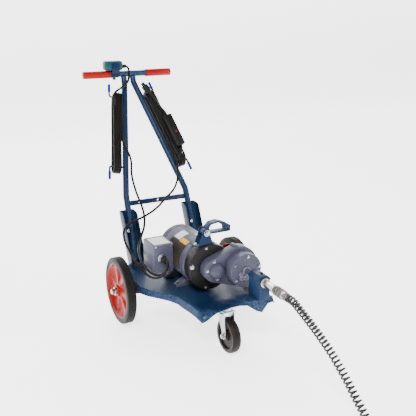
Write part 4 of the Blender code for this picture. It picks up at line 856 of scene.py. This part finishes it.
COVER_RING = 0.052
ADAPTER_RING = 0.0765
BOLT_WIDE = 0.0085
CASE_RING = 0.0345        # radius, then degrees, of the three bolts on the case's smaller lobe
CASE_DEGREES = (172, 282, 100)
case_y = cover_high.y - 0.0004
bolts("cover_bolts", "frame", bright_zinc,
      ringed(axis_x, shaft_z, COVER_RING, cover_low.y - 0.0002, BOLT_WIDE, (85, 150, 10, 215, 300)),
      washer=0.6)
bolts("adapter_bolts", "frame", bright_zinc,
      ringed(0, shaft_z, ADAPTER_RING, adapter_low.y - 0.0002, 0.013, (170,))
      + ringed(0, shaft_z, ADAPTER_RING, adapter_low.y - 0.0002, BOLT_WIDE, (254, 104)), washer=0.6)
bolts("case_bolts", "frame", bright_zinc,
      ringed(0, shaft_z, CASE_RING, case_y, BOLT_WIDE, CASE_DEGREES), washer=0.62)
bosses = []
for degrees, reach, radius in ((232, 0.030, 0.0105), (268, 0.026, 0.0105), (200, 0.024, 0.0075)):
    angle = math.radians(degrees)
    middle = Vector((axis_x + reach * math.cos(angle), cover_low.y + 0.001,
                     shaft_z + reach * math.sin(angle)))
    bosses.append(turned([(0, 0.0055), (radius * 0.8, 0.0055), (radius, 0.0035), (radius, 0), (0, 0)],
                         middle, "y", 24))
raised = turned([(0.011, 0), (0.0165, 0), (0.0165, 0.006), (0.015, 0.0075), (0.011, 0.0075), (0.011, 0)],
                Vector((axis_x, cover_low.y + 0.001, shaft_z)), "y", 32)
piece("cover_bosses", joined(raised, *bosses), machine_grey, "motor", body="frame")
case_ears = [turned([(0, 0.004), (0.007, 0.004), (0.0085, 0.0025), (0.0085, 0), (0, 0)], place, "y", 20)
             for place, _, _ in ringed(0, shaft_z, CASE_RING, case_y + 0.004, 0.01, CASE_DEGREES)]
piece("case_ears", joined(*case_ears), machine_grey, "motor", body="frame")

# ---- bearing block, shaft and couplings -----------------------------------------------------
# A welded navy pedestal with a bronze-lined bore, then a plated sleeve and a knurled holder of
# dark steel whose narrow end grips the drain cable.
as_made("pedestal", "bearing_block", navy, "navy", round_by=0.003)
bronze = coat("pale_bronze", (0.62, 0.50, 0.32), (0.8, 0.7, 0.5), 0.3, 0.2, metallic=0.7)
as_made("bush", "bearing_bush", bronze, "brass", round_by=0.0006)
block_low, block_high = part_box("bearing_block")
black_steel = coat("black_steel", (0.012, 0.012, 0.012), (0.2, 0.2, 0.2), 0.35, 0.5, metallic=0.6)
bolts("block_screw", "frame", black_steel,
      [(Vector((axis_x, (block_low.y + block_high.y) / 2 - 0.012, block_high.z - 0.0006)), (0, 0, 1), 0.011)],
      head_height=0.5, washer=0.5)
as_made("shaft", "output_shaft", bright_zinc, "steel")
as_made("sleeve", "shaft_coupling", bright_zinc, "zinc", round_by=0.0008)
knurl_steel = coat("knurled_steel", (0.040, 0.033, 0.027), (0.5, 0.48, 0.45), 0.4, 0.9, (60.0, 0.6),
                   metallic=0.7)
hold_low, hold_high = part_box("cable_coupling")
knurl_r = 0.0165
start_y, end_y = hold_high.y, hold_low.y + 0.019
holder = joined(
    turned([(0, 0), (0.0125, 0), (knurl_r - 0.001, 0.006), (knurl_r - 0.001, start_y - end_y - 0.002),
            (0.0138, start_y - end_y), (0, start_y - end_y)], Vector((axis_x, start_y, shaft_z)), "y", 40),
    turned([(0, 0), (0.0139, 0), (0.0139, 0.017), (0.0125, 0.019), (0, 0.019)],
           Vector((axis_x, end_y, shaft_z)), "y", 32))
piece("cable_holder", holder, knurl_steel, "charcoal", "cable_coupling")
KNURLS = 30
KNURL_PARTS = 6
KNURL_TURN = 0.9          # how far round one rib leans over its length, in radians
RIB_HALF = 0.035
rib_long = start_y - end_y - 0.014
ribs = []
for angle in (2 * math.pi * step / KNURLS for step in range(KNURLS)):
    for lean in (-1, 1):
        sections = []
        for part in range(KNURL_PARTS + 1):
            turn = angle + lean * KNURL_TURN * (part / KNURL_PARTS - 0.5)
            y = start_y - 0.008 - rib_long * part / KNURL_PARTS
            sections.append([(axis_x + r * math.cos(turn + w), y, shaft_z + r * math.sin(turn + w))
                             for r, w in ((knurl_r - 0.0012, -RIB_HALF), (knurl_r, 0),
                                          (knurl_r - 0.0012, RIB_HALF))])
        ribs.append(lofted(sections))
piece("knurl", joined(*ribs), knurl_steel, "charcoal", body=body_of["cable_coupling"])

# ---- lifting loop ---------------------------------------------------------------------------
# A bent steel bracket bolted over the adapter and a formed loop that turns on one large bolt,
# both powder-coated navy; the bolts are plated.
as_made("loop_bracket", "lift_bracket", navy, "navy", round_by=0.0009)
as_made("loop", "lift_handle", navy, "navy", round_by=0.0024)
as_made("loop_pin", "lift_pivot_bolt", bright_zinc, "zinc", round_by=0.0005)
pin_low, pin_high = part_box("lift_pivot_bolt")
bracket_low, bracket_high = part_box("lift_bracket")
base_y, base_z = bracket_low.y + 0.012, bracket_low.z + 0.0042
bolts("loop_bolt", "frame", bright_zinc,
      [(Vector(((pin_low.x + pin_high.x) / 2, pin_low.y + 0.001, (pin_low.z + pin_high.z) / 2)),
        (0, -1, 0), 0.017)]
      + [(Vector((x, base_y, base_z)), (0, 0, 1), 0.009)
         for x in (bracket_low.x + 0.008, bracket_high.x - 0.008)])

# ---- bracket and foot bolts -----------------------------------------------------------------
# Plated bolts through the handle's angle brackets, one showing on each outer side, and through
# the motor's four feet into the deck.
foot_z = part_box("motor_shell")[0].z
places = []
for label in ("left", "right"):
    low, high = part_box(f"bracket_{label}")
    places.append((Vector((low.x - 0.0002, low.y + 0.034, high.z - 0.052)), (-1, 0, 0), 0.009))
places += [(Vector((side * 0.078, set_back + y, foot_z + 0.0062)), (0, 0, 1), 0.011)
           for side in (-1, 1) for y in (-0.151, -0.051)]
bolts("foot_bolts", "frame", bright_zinc, places)

# ---- switch ---------------------------------------------------------------------------------
# A cast box in teal paint on a folded navy bracket that clamps round the bar, with a black
# lever at the rear and a moulded relief round the cord.
teal = coat("teal_paint", (0.006, 0.040, 0.058), (0.10, 0.30, 0.34), 0.30, 0.9, (16.0, 0.6), (500.0, 0.0003),
            clear=0.08)
as_made("switch_case", "switch_box", teal, "teal", round_by=0.0012)
as_made("switch_bracket", "switch_clamp", navy, "navy", round_by=0.0008)
as_made("switch_lever", "switch_toggle", soft_black, "black", round_by=0.0006)
relief("switch_relief", 0.0090, 0.0086, 0.0066, 0.020, control_points[0] - Vector((0.001, 0.001, 0)), "x")

# ---- plug and in-line guard -----------------------------------------------------------------
# Moulded black plug and the in-line guard block with a red reset button, all on the power cord.
# The drain cable's end coupling is made here too.
plug = as_made("plug_body", "plug", soft_black, "black", round_by=0.0008)
guard = as_made("guard_block", "shock_guard", soft_black, "black", round_by=0.0006)
button = as_made("guard_button", "reset_button", red_vinyl, "red", round_by=0.0005)
cable_end = as_made("cable_end", "drain_end_coupling", knurl_steel, "steel", round_by=0.0008)

# ---- inside the motor and the gear case -----------------------------------------------------
# Laminated steel core and windings, the turning core and shaft, two bearings and the large
# gear; these stay hidden unless the machine is opened.
windings = coat("copper_windings", (0.40, 0.13, 0.04), (0.7, 0.35, 0.15), 0.35, 0.3, metallic=0.9)
bare_steel = coat("bare_steel", (0.30, 0.30, 0.30), (0.6, 0.6, 0.6), 0.35, 0.5, (50.0, 0.6), metallic=1.0)
as_made("core_and_coils", "stator", windings, "copper")
for name, node in (("turning_core", "rotor_core"), ("turning_shaft", "rotor_shaft"),
                   ("bearing_rear", "motor_bearing_rear"), ("bearing_front", "motor_bearing_front"),
                   ("large_gear", "drive_gear")):
    as_made(name, node, bare_steel, "steel")
